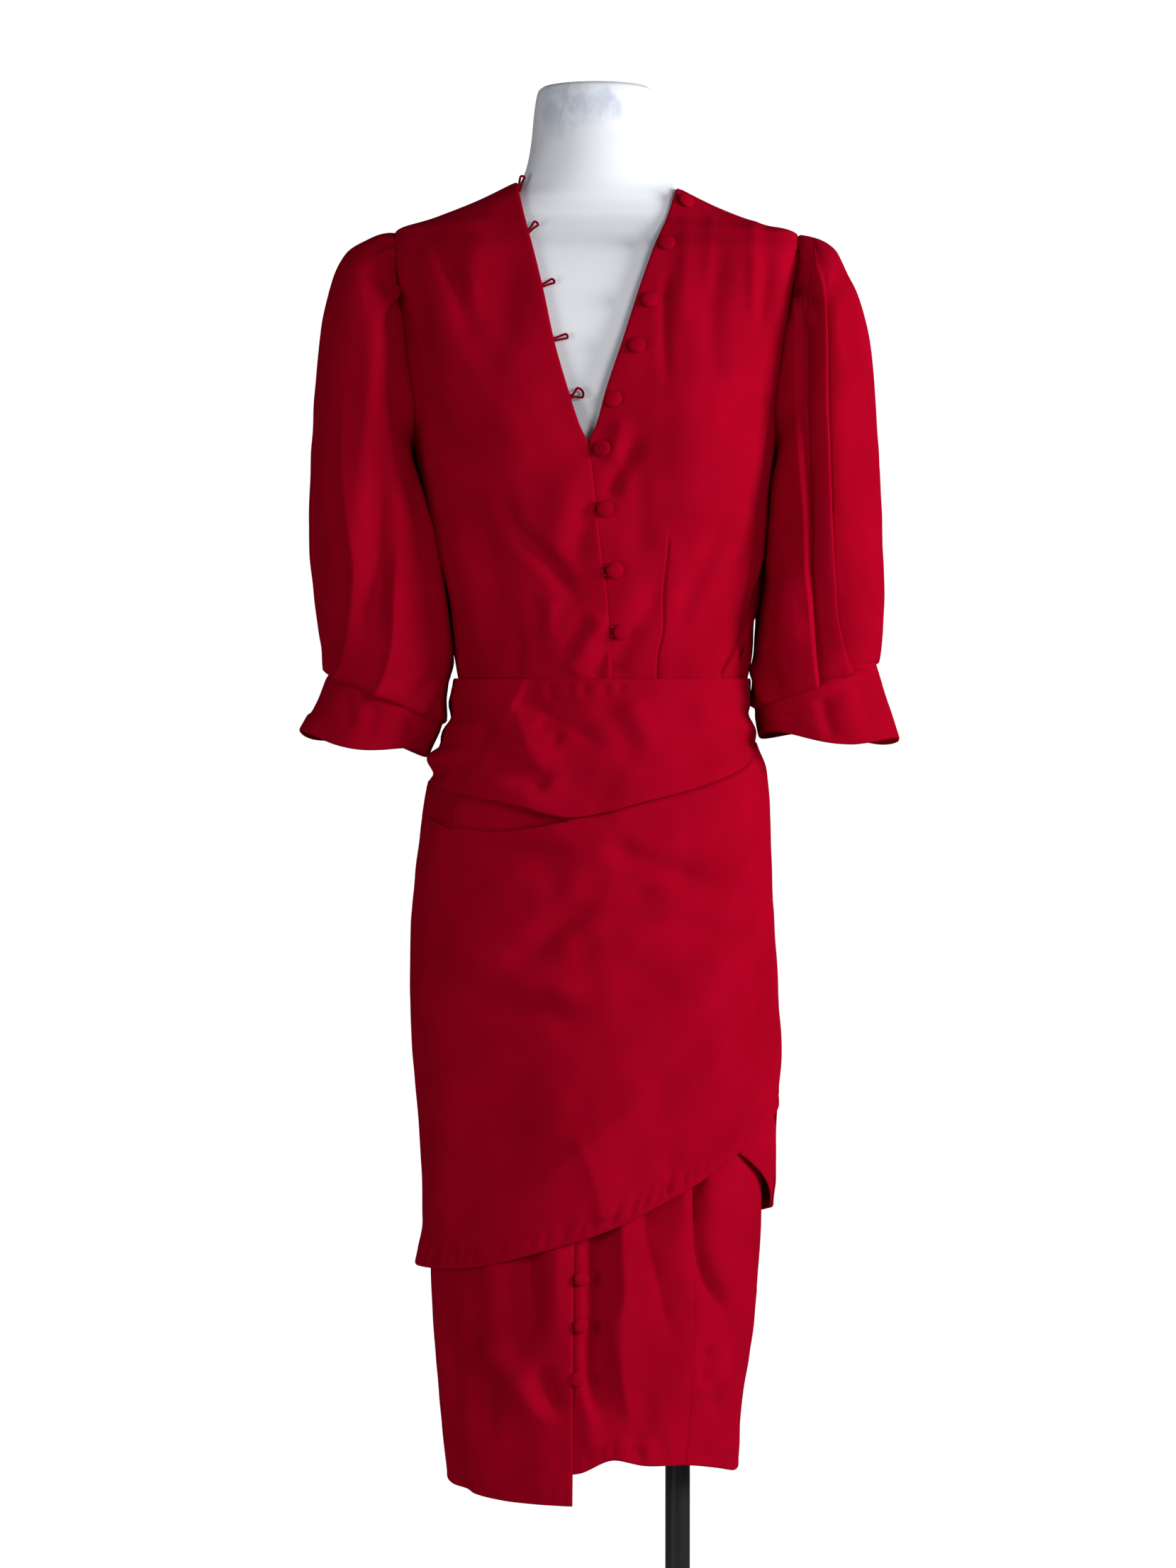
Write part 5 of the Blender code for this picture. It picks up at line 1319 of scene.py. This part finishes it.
def makeLowerDrape():
    angle = mix(-90.0, 90.0, spread(lowerDrape["columns"], 0.44))[None, :]
    roll, hem = hems["roll"](angle), hems["drape"](angle)
    edge = hems["waistDrape"](angle)
    # none is tucked in at the sides
    over = mix(-0.0002, lowerDrape["over"], atSides(angle, 60.0, 80.0))
    stops = [np.maximum(edge, roll) + over, roll + 0.1 * over]
    stops += [roll - drop for drop in lowerDrape["rollDrops"]]
    stops += [mix(stops[-1], hem, share) for share in (0.2, 0.4, 0.6, 0.8, 1.0)]
    stops = np.stack(np.broadcast_arrays(*stops)).reshape(len(stops), -1)
    shares = np.concatenate([np.linspace(0, 3, lowerDrape["rowsInRoll"])[:-1],
                             np.linspace(3, 4, lowerDrape["rowsBelow"])[:-1],
                             4.0 + 5.0 * spread(lowerDrape["rows"], 0.32, False, True)])
    z = np.stack([np.interp(shares, range(len(stops)), column) for column in stops.T], axis=1)
    below = roll - z
    sides = atSides(angle, 66.0, 86.0)
    more, lip = lowerDrape["moreTuck"], lowerDrape["lip"]
    tuck = lowerDrape["tuck"] + more["deep"] * bell(angle, more["at"], more["wide"])
    tuck = tuck * (1.0 - ease((below + 0.001) / 0.0045)) * sides
    rise = lip["rise"] * bell(below, lip["below"], lip["wide"]) * sides
    points = roundPoint(overskirt, angle, z, rise - tuck)
    makeCloth("lower_drape", points, {"front": lowerDrapeFolds},
              seams=("first", "last"), free=("bottom",), extra=drapeHemPuckers)


def makeUnderLayer():
    angle = mix(underLayer["from"], 90.0, spread(underLayer["columns"], 0.13))[None, :]
    down = spread(underLayer["rows"], 0.24)[:, None]
    z = mix(heights["underLayerTop"], hems["underLayer"](angle), down)
    start, over = underLayer["shows"]
    shows = ease((hems["drape"](angle) - 0.002 - z) / 0.022) * ease((angle - start) / over)
    start, over = underLayer["hangs"]
    nearHem = (1.0 - ease((z - hems["underLayer"](angle)) / 0.050)) * ease((angle - start) / over)
    start, over, share = underLayer["hangsLess"]
    nearHem = nearHem * (1.0 - share * ease((angle - start) / over))
    lift = underLayer["comesOut"] * shows - underLayer["under"]
    lift = lift - underLayer["hemIn"] * nearHem - underLayer["topIn"] * ease((z - 0.700) / 0.060)
    points = roundPoint(overskirt, angle, z, lift)
    makeCloth("under_layer", points, {}, free=("bottom", "first"))


def makeOverskirtBack():
    angle = mix(90.0, 270.0, spread(overskirtBack["columns"], 0.43))[None, :]
    down = spread(overskirtBack["rows"], 0.48)[:, None]
    z = mix(heights["waist"], hems["overskirtBack"](angle), down)
    points = roundPoint(overskirt, angle, z)

    def hemPuckers(places):
        return puckers(places, "bottom", *overskirtBack["puckers"])

    folds = {"back": overskirtBackFolds, "right": waistRightFolds, "left": waistLeftFolds}
    makeCloth("overskirt_back", points, folds,
              seams=("first", "last"), free=("top", "bottom"), extra=hemPuckers)


print("making the overskirt")
makeWaistDrape()
makeLowerDrape()
makeUnderLayer()
makeOverskirtBack()

# underskirt
# soft waves: degrees at the top and at the hem, width, depth, and the height where one starts
skirtWaves = [
    (-72.0, -66.0, 11.0, 0.0040, 0.60),
    (112.0, 108.0, 13.0, 0.0045, 0.62),
    (148.0, 152.0, 14.0, 0.0045, 0.62),
    (197.0, 194.0, 14.0, 0.0045, 0.62),
    (238.0, 244.0, 13.0, 0.0045, 0.62),
    (172.0, 175.0, 8.0, -0.0030, 0.60),
    (218.0, 222.0, 8.0, -0.0028, 0.60),
]
skirtRightFolds = [
    trough(11, 6.6, [(-58, 560), (-59, 520), (-54, 489), (-62, 471), (-68, 445)], (0.05, 0.30),
           core=0.3),
    ridge(9, 2.6, [(-88, 545), (-86, 495), (-93, 458)], (0.10, 0.40)),
    ridge(9, 2.4, [(-32, 550), (-36, 495), (-42, 462)], (0.10, 0.40)),
    crest(14, 5.0, [(-98, 474), (-74, 441), (-54, 414), (-36, 388)], (0.20, 0.25), turn=-1,
          steep=9, round=3.5),
    trough(8, 4.8, [(-48, 446), (-38, 420), (-32, 400)], core=0.4),
    trough(12, 4.6, [(-86, 452), (-92, 417), (-90, 374)], core=0.2),
    trough(10, 3.0, [(-118, 470), (-108, 436), (-98, 405)]),
    ridge(8, 2.0, [(-116, 424), (-104, 392), (-98, 352)], (0.30, 0.10)),
    trough(10, 1.8, [(-60, 408), (-66, 380), (-62, 352)], (0.35, 0.10)),
    ridge(8, 1.6, [(-110, 546), (-106, 500), (-112, 468)]),
]
skirtLeftFolds = [
    pleat(25, 9.4, [(-5, 600), (-6, 550), (-6, 500), (-7, 470), (-7, 440), (-4, 414), (4, 388)],
          (0.02, 0.22), rise=0.2, crest=6, power=1.0, blend=14.0, lean=0.0),
    crest(13, 3.4, [(21, 600), (22, 553), (23, 528), (25, 507), (20, 492), (16, 474), (18, 455),
          (23, 428), (28, 404), (31, 383)], (0.02, 0.25), turn=-1, steep=5, round=2.0),
    crest(21, -6.4, [(42, 604), (43, 579), (44, 558), (49, 538), (55, 517), (60, 497), (66, 476),
          (78, 460)], (0.02, 0.25), turn=-1, steep=10, round=2.0),
    ridge(4, 1.4, [(79, 606), (77, 580), (80, 556)], (0.05, 0.50)),
    crest(11, 2.6, [(93, 612), (94, 579), (94, 559), (97, 538), (104, 520), (113, 502), (121, 486),
          (127, 472)], (0.02, 0.30), turn=-1, steep=5, round=1.6),
    trough(7, 5.0, [(87, 608), (88, 560), (91, 536), (97, 516), (106, 498), (115, 480)],
           (0.02, 0.30), core=0.35),
    trough(8, 3.6, [(98, 466), (95, 446), (90, 424)], (0.30, 0.35), core=0.3),
    crest(9, 1.8, [(109, 466), (105, 446), (97, 426)], (0.30, 0.30), turn=-1, steep=4),
    trough(8, 3.4, [(99, 428), (107, 402), (116, 376)], (0.30, 0.15), core=0.3),
    trough(8, 2.0, [(40, 432), (44, 405), (36, 376)], (0.35, 0.15)),
    ridge(8, 1.8, [(-4, 440), (-6, 405), (-2, 368)], (0.30, 0.10)),
    trough(5, 1.4, [(31, 388), (36, 368)], (0.3, 0.0)),
    trough(5, 1.4, [(54, 388), (58, 368)], (0.3, 0.0)),
]


def skirtWaveLift(angle, z):
    total = 0.0
    for top, low, wide, deep, start in skirtWaves:
        grow = ease((start - z) / 0.16)
        centre = mix(top, low, np.clip((start - z) / 0.27, 0.0, 1.0))
        away = np.abs((angle - centre + 180.0) % 360.0 - 180.0) / wide
        total = total + deep * grow * (1.0 - ease(away))
    return -total


skirtShape = {
    "length": 0.66,
    "hidden": 0.46,         # share of its length that the overskirt hides
    "rowsHidden": 18,
    "rowsSeen": 92,
    "puckers": (0.007, 0.018, 0.011, 0.0014, 0.0032),   # as the lower drape has them
    "hemLine": (0.0004, 0.0085, 0.0015),
}


def skirtDown():  # coarse where the overskirt hides it
    hidden = skirtShape["hidden"]
    seen = spread(skirtShape["rowsSeen"], skirtShape["length"] * (1.0 - hidden), False, True)
    top = np.linspace(0.0, hidden, skirtShape["rowsHidden"])[:-1]
    return np.concatenate([top, hidden + (1.0 - hidden) * seen])[:, None]


def levelHem(angle):
    return heights["skirtHem"] + 0.0 * angle


def backHem(angle):
    return mix(hemRows["skirtLeft"][-1][1], heights["skirtHem"], ease((angle - 90.0) / 60.0))


def makeSkirtPanel(name, fromEdge, toEdge, hem, columns, seed, folds, seams, free,
                   lapped=False):
    down = skirtDown()
    across = spread(columns, 0.18)[None, :]
    rough = mix(heights["waistSeam"], heights["skirtHem"], down)
    angle = mix(fromEdge(rough), toEdge(rough), across)
    z = mix(heights["waistSeam"], hem(angle), down)
    lift = skirtWaveLift(angle, z)
    if lapped:
        lift = lift + cloth["lapLift"] * ease((across - 0.35) / 0.3)
    points = roundPoint(underskirt, angle, z, lift)

    def hemPuckers(places):
        made = puckers(places, "bottom", *skirtShape["puckers"], seed)
        deep, place, wide = skirtShape["hemLine"]
        return made - deep * bell(edgeDistance(places, "bottom"), place, wide)

    makeCloth(name, points, folds, seams=seams, free=free, extra=hemPuckers)


def skirtEdge(column):
    x = smoothCurve(skirtEdgeRows, column)
    return lambda z: angleAt(underskirt, x(z), z)


def fixedAngle(value):
    return lambda z: value + 0.0 * z


print("making the underskirt")
panelSeam = smoothCurve(panelSeamRows)
makeSkirtPanel("skirt_front_right", fixedAngle(-90.0), skirtEdge(1), levelHem, 84, 11,
               {"front": skirtRightFolds}, ("first",), ("last", "bottom"), lapped=True)
makeSkirtPanel("skirt_front_left", skirtEdge(2), panelSeam, hems["skirtLeft"], 64, 12,
               {"front": skirtLeftFolds}, ("last",), ("first", "bottom"))
makeSkirtPanel("skirt_side_left", panelSeam, fixedAngle(90.0), hems["skirtLeft"], 40, 13,
               {"front": skirtLeftFolds}, ("first", "last"), ("bottom",))
makeSkirtPanel("skirt_back", fixedAngle(90.0), fixedAngle(270.0), backHem, 120, 14,
               {}, ("first", "last"), ("bottom",))

# buttons and loops
sewn = {
    "near": 0.004,          # cloth this near gives a button or a loop its direction
    "steepest": 0.45,       # on the shoulder it hangs: its axis rises no more than this
    "level": 0.89,
}
button = {"large": 0.0070, "small": 0.0061, "shank": 0.0023, "dome": 0.0034, "steps": 28}
loopCord = {"radius": 0.00098, "start": 0.0016}
# across and height, and whether it is fastened
bodiceButtons = [
    (0.0743, 1.4268, False), (0.0580, 1.3870, False), (0.0440, 1.3385, False),
    (0.0333, 1.3002, False), (0.0144, 1.2565, False), (0.0060, 1.2167, True),
    (0.0073, 1.1686, True), (0.0154, 1.1185, True), (0.0201, 1.0694, True),
]
skirtButtons = [(-0.0128, 0.5392, True), (-0.0132, 0.5002, True), (-0.0154, 0.4564, True)]
# height, length, width and upward slant of the loops left open
openLoops = [
    (1.4400, 0.0126, 0.0056, 76.0), (1.4000, 0.0130, 0.0062, 43.0),
    (1.3517, 0.0126, 0.0060, 25.0), (1.3063, 0.0138, 0.0058, 16.0),
    (1.2588, 0.0132, 0.0104, 23.0),
]


def clothFrame(name, x, z, lift):  # axes on the cloth nearest to a place: across, up, outward
    part = clothPieces[name]
    points = part["points"].reshape(-1, 3)
    apart = np.hypot(points[:, 0] - x, points[:, 2] - z)
    weight = np.exp(-(apart / sewn["near"]) ** 2)
    weight /= weight.sum()
    out = Vector((part["normals"].reshape(-1, 3) * weight[:, None]).sum(0)).normalized()
    if out.z > sewn["steepest"]:
        rise = sewn["steepest"] * math.hypot(out.x, out.y) / sewn["level"]
        out = Vector((out.x, out.y, rise)).normalized()
    middle = (points * weight[:, None]).sum(0)
    y = middle[1] - ((x - middle[0]) * out.x + (z - middle[2]) * out.z) / out.y
    up = (Vector((0, 0, 1)) - out * out.z).normalized()
    across = up.cross(out).normalized()
    axes = Matrix((across, up, out)).transposed().to_4x4()
    return Matrix.Translation(Vector((x, y, z)) + out * lift) @ axes


def makeButton(node, clothName, x, z, radius, lift=0.0):
    shank, dome, base = 0.40 * radius, button["dome"], button["shank"]
    profile = [(0.0, base + dome)]
    for turn in range(10, 91, 10):  # a flattened dome, then the rolled rim
        c, s = math.cos(math.radians(turn)), math.sin(math.radians(turn))
        profile.append((radius * s ** 0.92, base + dome * (0.22 + 0.78 * c ** 0.8)))
    profile += [(radius * 0.995, base + dome * 0.14), (radius * 0.95, base + dome * 0.03),
                (radius * 0.86, base - 0.0002), (shank * 1.3, base), (shank, base - 0.0003),
                (shank, 0.0), (0.0, 0.0)]
    mesh = turned(node, profile, button["steps"], sharp=70)
    mesh.transform(clothFrame(clothName, x, z, cloth["wall"] / 2 + 0.0005 + lift))
    finishPiece(addPiece("cloth_" + node, mesh), crepeTrim, [node])


def makeCord(node, frameMatrix, route, radius, material):
    curve = bpy.data.curves.new(node, "CURVE")
    curve.dimensions = "3D"
    curve.bevel_depth = radius
    curve.bevel_resolution = 3
    curve.use_fill_caps = True
    places = smoothLine(route, 5)
    spline = curve.splines.new("POLY")
    spline.points.add(len(places) - 1)
    for point, place in zip(spline.points, places):
        point.co = (*place, 1.0)
    holder = bpy.data.objects.new(node + "_route", curve)
    bpy.context.scene.collection.objects.link(holder)
    shown = holder.evaluated_get(bpy.context.evaluated_depsgraph_get())
    mesh = bpy.data.meshes.new_from_object(shown)
    bpy.data.objects.remove(holder)
    mesh.transform(frameMatrix)
    mesh.shade_smooth()
    finishPiece(addPiece("cloth_" + node, mesh), material, [node])


def openLoopRoute(long, wide, rise):  # two strands side by side, opening to a round tip
    half, cord = wide / 2 - loopCord["radius"], loopCord["radius"] * 1.05
    tip = long - wide / 2
    route = [(-0.0030, -cord, -0.0006), (0.0010, -cord, 0.0), (tip * 0.45, -cord * 1.15, 0.0005)]
    for turn in range(-80, 81, 32):
        c, s = math.cos(math.radians(turn)), math.sin(math.radians(turn))
        route.append((tip + half * c, half * s, 0.0009))
    route += [(tip * 0.45, cord * 1.15, 0.0005), (0.0010, cord, 0.0), (-0.0030, cord, -0.0006)]
    slant = Matrix.Rotation(math.radians(rise), 3, "Z")
    return [tuple(slant @ Vector(place)) for place in route]


def fastenedLoopRoute(reach, shank):
    wide = shank + loopCord["radius"] + 0.0003
    start = loopCord["start"] - reach - 0.0030
    route = [(start, -wide * 0.8, -0.0008), (start + 0.003, -wide * 0.9, 0.0)]
    for turn in range(-90, 91, 30):
        c, s = math.cos(math.radians(turn)), math.sin(math.radians(turn))
        route.append((wide * c, wide * s, 0.0))
    return route + [(start + 0.003, wide * 0.9, 0.0), (start, wide * 0.8, -0.0008)]


def makeFastenings(label, clothName, lapName, edge, spots, radius):
    for number, (x, z, fastened) in enumerate(spots, 1):
        name = lapName if fastened and x < edge(z) + 0.001 else clothName
        makeButton(f"{label}_button_{number}", name, x, z, radius)
        if not fastened:
            continue
        height = cloth["wall"] / 2 + 0.0009 + loopCord["radius"]
        matrix = clothFrame(name, x, z, height)
        route = fastenedLoopRoute(x - edge(z), 0.40 * radius)
        makeCord(f"{label}_loop_{number}", matrix, route, loopCord["radius"], crepeTrim)


print("making buttons and loops")
bodiceEdge, skirtLap = smoothCurve(frontEdgeRows, 1), smoothCurve(skirtEdgeRows, 1)
makeFastenings("bodice", "bodice_front_left", "bodice_front_right", bodiceEdge, bodiceButtons,
               button["large"])
makeFastenings("skirt", "skirt_front_left", "skirt_front_right", skirtLap, skirtButtons,
               button["small"])
for loopNumber, (loopZ, loopLong, loopWide, loopRise) in enumerate(openLoops, 1):
    loopFrame = clothFrame("bodice_front_right", float(bodiceEdge(loopZ)), loopZ, 0.0)
    makeCord(f"open_loop_{loopNumber}", loopFrame, openLoopRoute(loopLong, loopWide, loopRise),
             loopCord["radius"], loopShadedRed)

# the row of stitches at the waist, in metres
topstitch = {"below": 0.0096, "pitch": 0.0031, "length": 0.0021, "radius": 0.00026}


def makeTopstitch(names):
    bm = bmesh.new()
    for name in names:
        part = clothPieces[name]
        points, normals = part["points"], part["normals"]
        away = edgeDistance(points, "top")[:, points.shape[1] // 2]
        row = int(np.argmin(np.abs(away - topstitch["below"])))
        line, out = points[row], normals[row]
        run = np.concatenate([[0.0], np.cumsum(np.linalg.norm(np.diff(line, axis=0), axis=-1))])
        for place in np.arange(topstitch["pitch"], run[-1] - 0.002, topstitch["pitch"]):
            spots = [place - topstitch["length"] / 2, place + topstitch["length"] / 2]
            start, end = (Vector([np.interp(at, run, line[:, k]) for k in range(3)])
                          for at in spots)
            lift = Vector([np.interp(place, run, out[:, k]) for k in range(3)])
            along = (end - start).normalized()
            side = along.cross(lift).normalized()
            up = side.cross(along)
            middle = (start + end) / 2 + lift * (cloth["wall"] / 2 + 0.00002)
            turn = Matrix((along, side, up)).transposed().to_4x4()
            matrix = Matrix.Translation(middle) @ turn @ Matrix.Diagonal(
                (topstitch["length"] / 2, topstitch["radius"], topstitch["radius"], 1.0))
            bmesh.ops.create_icosphere(bm, subdivisions=1, radius=1.0, matrix=matrix)
    mesh = bpy.data.meshes.new("waist_topstitch")
    bm.to_mesh(mesh)
    bm.free()
    mesh.shade_smooth()
    finishPiece(addPiece("waist_topstitch", mesh), crepeTrim, [])


makeTopstitch(("waist_drape", "overskirt_back"))

# form and stand
form = {
    "rows": 150,
    "columns": 121,
    "rowStops": [(0.0, 1.5280), (0.06, 1.5190), (0.62, 1.330), (0.94, 0.802), (1.0, 0.785)],
    "capShares": [0.0, 0.25, 0.5, 0.72, 0.88, 0.96],
    "capRise": 0.0003,
}
stand = {
    "poleX": 0.070,
    "poleRadius": 0.0105,
    "floor": 0.0083,        # the pole and the collar start this high, just over the plate
    "formBottom": 0.7850,
    "plateRadius": 0.190,
    "plateThick": 0.008,
    "flangeRadius": 0.034,
    "flangeThick": 0.006,
    "collarRadius": 0.0190,
    "collarHeight": 0.022,
    "rounding": 0.002,
    "gap": 0.0003,
}


def makeForm():
    cells = [smoothCurve(formRows, k) for k in range(1, 6)]
    z = np.interp(np.linspace(0, 1, form["rows"]), *zip(*form["rowStops"]))[:, None]
    turn = np.linspace(0.0, 360.0, form["columns"])[None, :]
    half, front, back, power, middle = (cell(z) for cell in cells)
    s, c = np.sin(np.radians(turn)), np.cos(np.radians(turn))
    depth = np.where(c > 0, front, back)
    radius = ((np.abs(s) / half) ** power + (np.abs(c) / depth) ** power) ** (-1.0 / power)
    sides = np.stack([radius * s, middle - radius * c, z + 0.0 * turn], axis=-1)
    caps = []
    for ring, rise in ((sides[0], form["capRise"]), (sides[-1], 0.0)):
        centre = ring.mean(0)
        shares = np.array(form["capShares"])[:, None, None]
        cap = centre + (ring - centre)[None] * shares
        cap[..., 2] += rise * (1.0 - shares[..., 0] ** 2)
        caps.append(cap)
    points = np.concatenate([caps[0], sides, caps[1][::-1]])
    mesh = gridMesh("formShape", points, closed=True, sharp=50)
    bm = bmesh.new()
    bm.from_mesh(mesh)
    bmesh.ops.dissolve_degenerate(bm, dist=0.000001, edges=bm.edges)
    bmesh.ops.recalc_face_normals(bm, faces=bm.faces)
    bm.to_mesh(mesh)
    bm.free()
    finishPiece(addPiece("form_shape", mesh), formWhite, ["form_torso"])


def discProfile(radius, low, high):
    profile, edge = [(0.0, high)], stand["rounding"]
    for turn in range(0, 91, 15):
        c, s = math.cos(math.radians(turn)), math.sin(math.radians(turn))
        profile.append((radius - edge + edge * s, high - edge + edge * c))
    return profile + [(radius, low + edge / 2), (radius - edge / 2, low), (0.0, low)]


def makeStand():
    low, top = stand["floor"], stand["formBottom"] - stand["gap"]
    inside, wide, tall = (stand["poleRadius"] + stand["gap"], stand["collarRadius"],
                          low + stand["collarHeight"])
    plate = discProfile(stand["plateRadius"], 0.0, stand["plateThick"])
    pole = discProfile(stand["poleRadius"], low, top - stand["flangeThick"] - stand["gap"])
    flange = discProfile(stand["flangeRadius"], top - stand["flangeThick"], top)
    collar = [(inside, tall), (wide - 0.0018, tall), (wide - 0.0006, tall - 0.0006),
              (wide, tall - 0.0018), (wide, low), (inside, low), (inside, tall)]
    mesh = turned("base_plate", plate, 128)
    finishPiece(addPiece("stand_base_plate", mesh), plateGrey, ["base_plate"])
    for node, profile, steps in (("form_pole", pole, 48), ("pole_flange", flange, 64),
                                 ("pole_collar", collar, 48)):
        mesh = turned(node, profile, steps, (stand["poleX"], 0.0, 0.0))
        finishPiece(addPiece("stand_" + node, mesh), blackSatin, [node])


print("making the form and its stand")
makeForm()
makeStand()

# floor, lights and camera
ambient = 0.095
# degrees round from the front towards the left side, height, distance, size, power;
# one without gloss is left out of reflections
lights = {
    "key": {"turn": 70, "height": 1.35, "away": 2.1, "size": 0.7, "power": 42.0},
    "front": {"turn": 30, "height": 1.50, "away": 2.3, "size": 0.8, "power": 19.0},
    "left": {"turn": -42, "height": 0.85, "away": 2.3, "size": 1.0, "power": 15.5},
    "back": {"turn": 152, "height": 1.90, "away": 2.3, "size": 0.9, "power": 20.0,
             "gloss": False},
}


def makeLight(name, turn, height, away, size, power, gloss=True):
    turn = math.radians(turn)
    place = (away * math.sin(turn), -away * math.cos(turn), height)
    data = bpy.data.lights.new(name, "AREA")
    data.size = size
    data.energy = power
    lamp = bpy.data.objects.new(name, data)
    lamp.location = place
    lamp.visible_glossy = gloss
    aim = Vector((0.0, 0.0, 1.0)) - Vector(place)
    lamp.rotation_euler = aim.to_track_quat("-Z", "Y").to_euler()
    bpy.context.scene.collection.objects.link(lamp)


def makeFloor():
    bm = bmesh.new()
    bmesh.ops.create_circle(bm, cap_ends=True, segments=96, radius=1.0)
    mesh = bpy.data.meshes.new("floor")
    bm.to_mesh(mesh)
    bm.free()
    floor = addPiece("floor", mesh)
    made, tree, shader = newMaterial("paleFloor", (0.88, 0.88, 0.88), 0.7)
    made.blend_method = "HASHED"
    source = addNode(tree, "ShaderNodeTexCoord").outputs["Object"]
    away = addNode(tree, "ShaderNodeVectorMath", operation="LENGTH")
    tree.links.new(source, away.inputs[0])
    fade = addNode(tree, "ShaderNodeMapRange", interpolation_type="SMOOTHSTEP")
    for socket, value in (("From Min", 0.45), ("From Max", 0.98), ("To Min", 1.0), ("To Max", 0.0)):
        fade.inputs[socket].default_value = value
    tree.links.new(away.outputs["Value"], fade.inputs["Value"])
    tree.links.new(fade.outputs["Result"], shader.inputs["Alpha"])
    mesh.materials.append(made)


def makeWorld():  # white to the camera, and a dimmer soft light to the object
    world = bpy.data.worlds.new("studio")
    world.use_nodes = True
    bpy.context.scene.world = world
    tree = world.node_tree
    white = addNode(tree, "ShaderNodeBackground", Color=(1.0, 1.0, 1.0, 1.0), Strength=1.0)
    soft = tree.nodes["Background"]
    soft.inputs["Color"].default_value = (0.97, 0.98, 1.0, 1.0)
    soft.inputs["Strength"].default_value = ambient
    path = addNode(tree, "ShaderNodeLightPath")
    choose = addNode(tree, "ShaderNodeMixShader")
    tree.links.new(path.outputs["Is Camera Ray"], choose.inputs["Fac"])
    tree.links.new(soft.outputs["Background"], choose.inputs[1])
    tree.links.new(white.outputs["Background"], choose.inputs[2])
    tree.links.new(choose.outputs["Shader"], tree.nodes["World Output"].inputs["Surface"])


def makeCamera():
    data = bpy.data.cameras.new("camera")
    data.lens = camera["lens"]
    data.sensor_width = 36.0
    made = bpy.data.objects.new("camera", data)
    made.location = camera["eye"]
    made.rotation_euler = (math.radians(90.0 - camera["tiltDown"]), 0.0, 0.0)
    bpy.context.scene.collection.objects.link(made)
    bpy.context.scene.camera = made


print("making floor, lights and camera")
makeFloor()
makeWorld()
for lightName, lightValues in lights.items():
    makeLight(lightName, **lightValues)
makeCamera()
bpy.context.scene.view_settings.view_transform = "Standard"
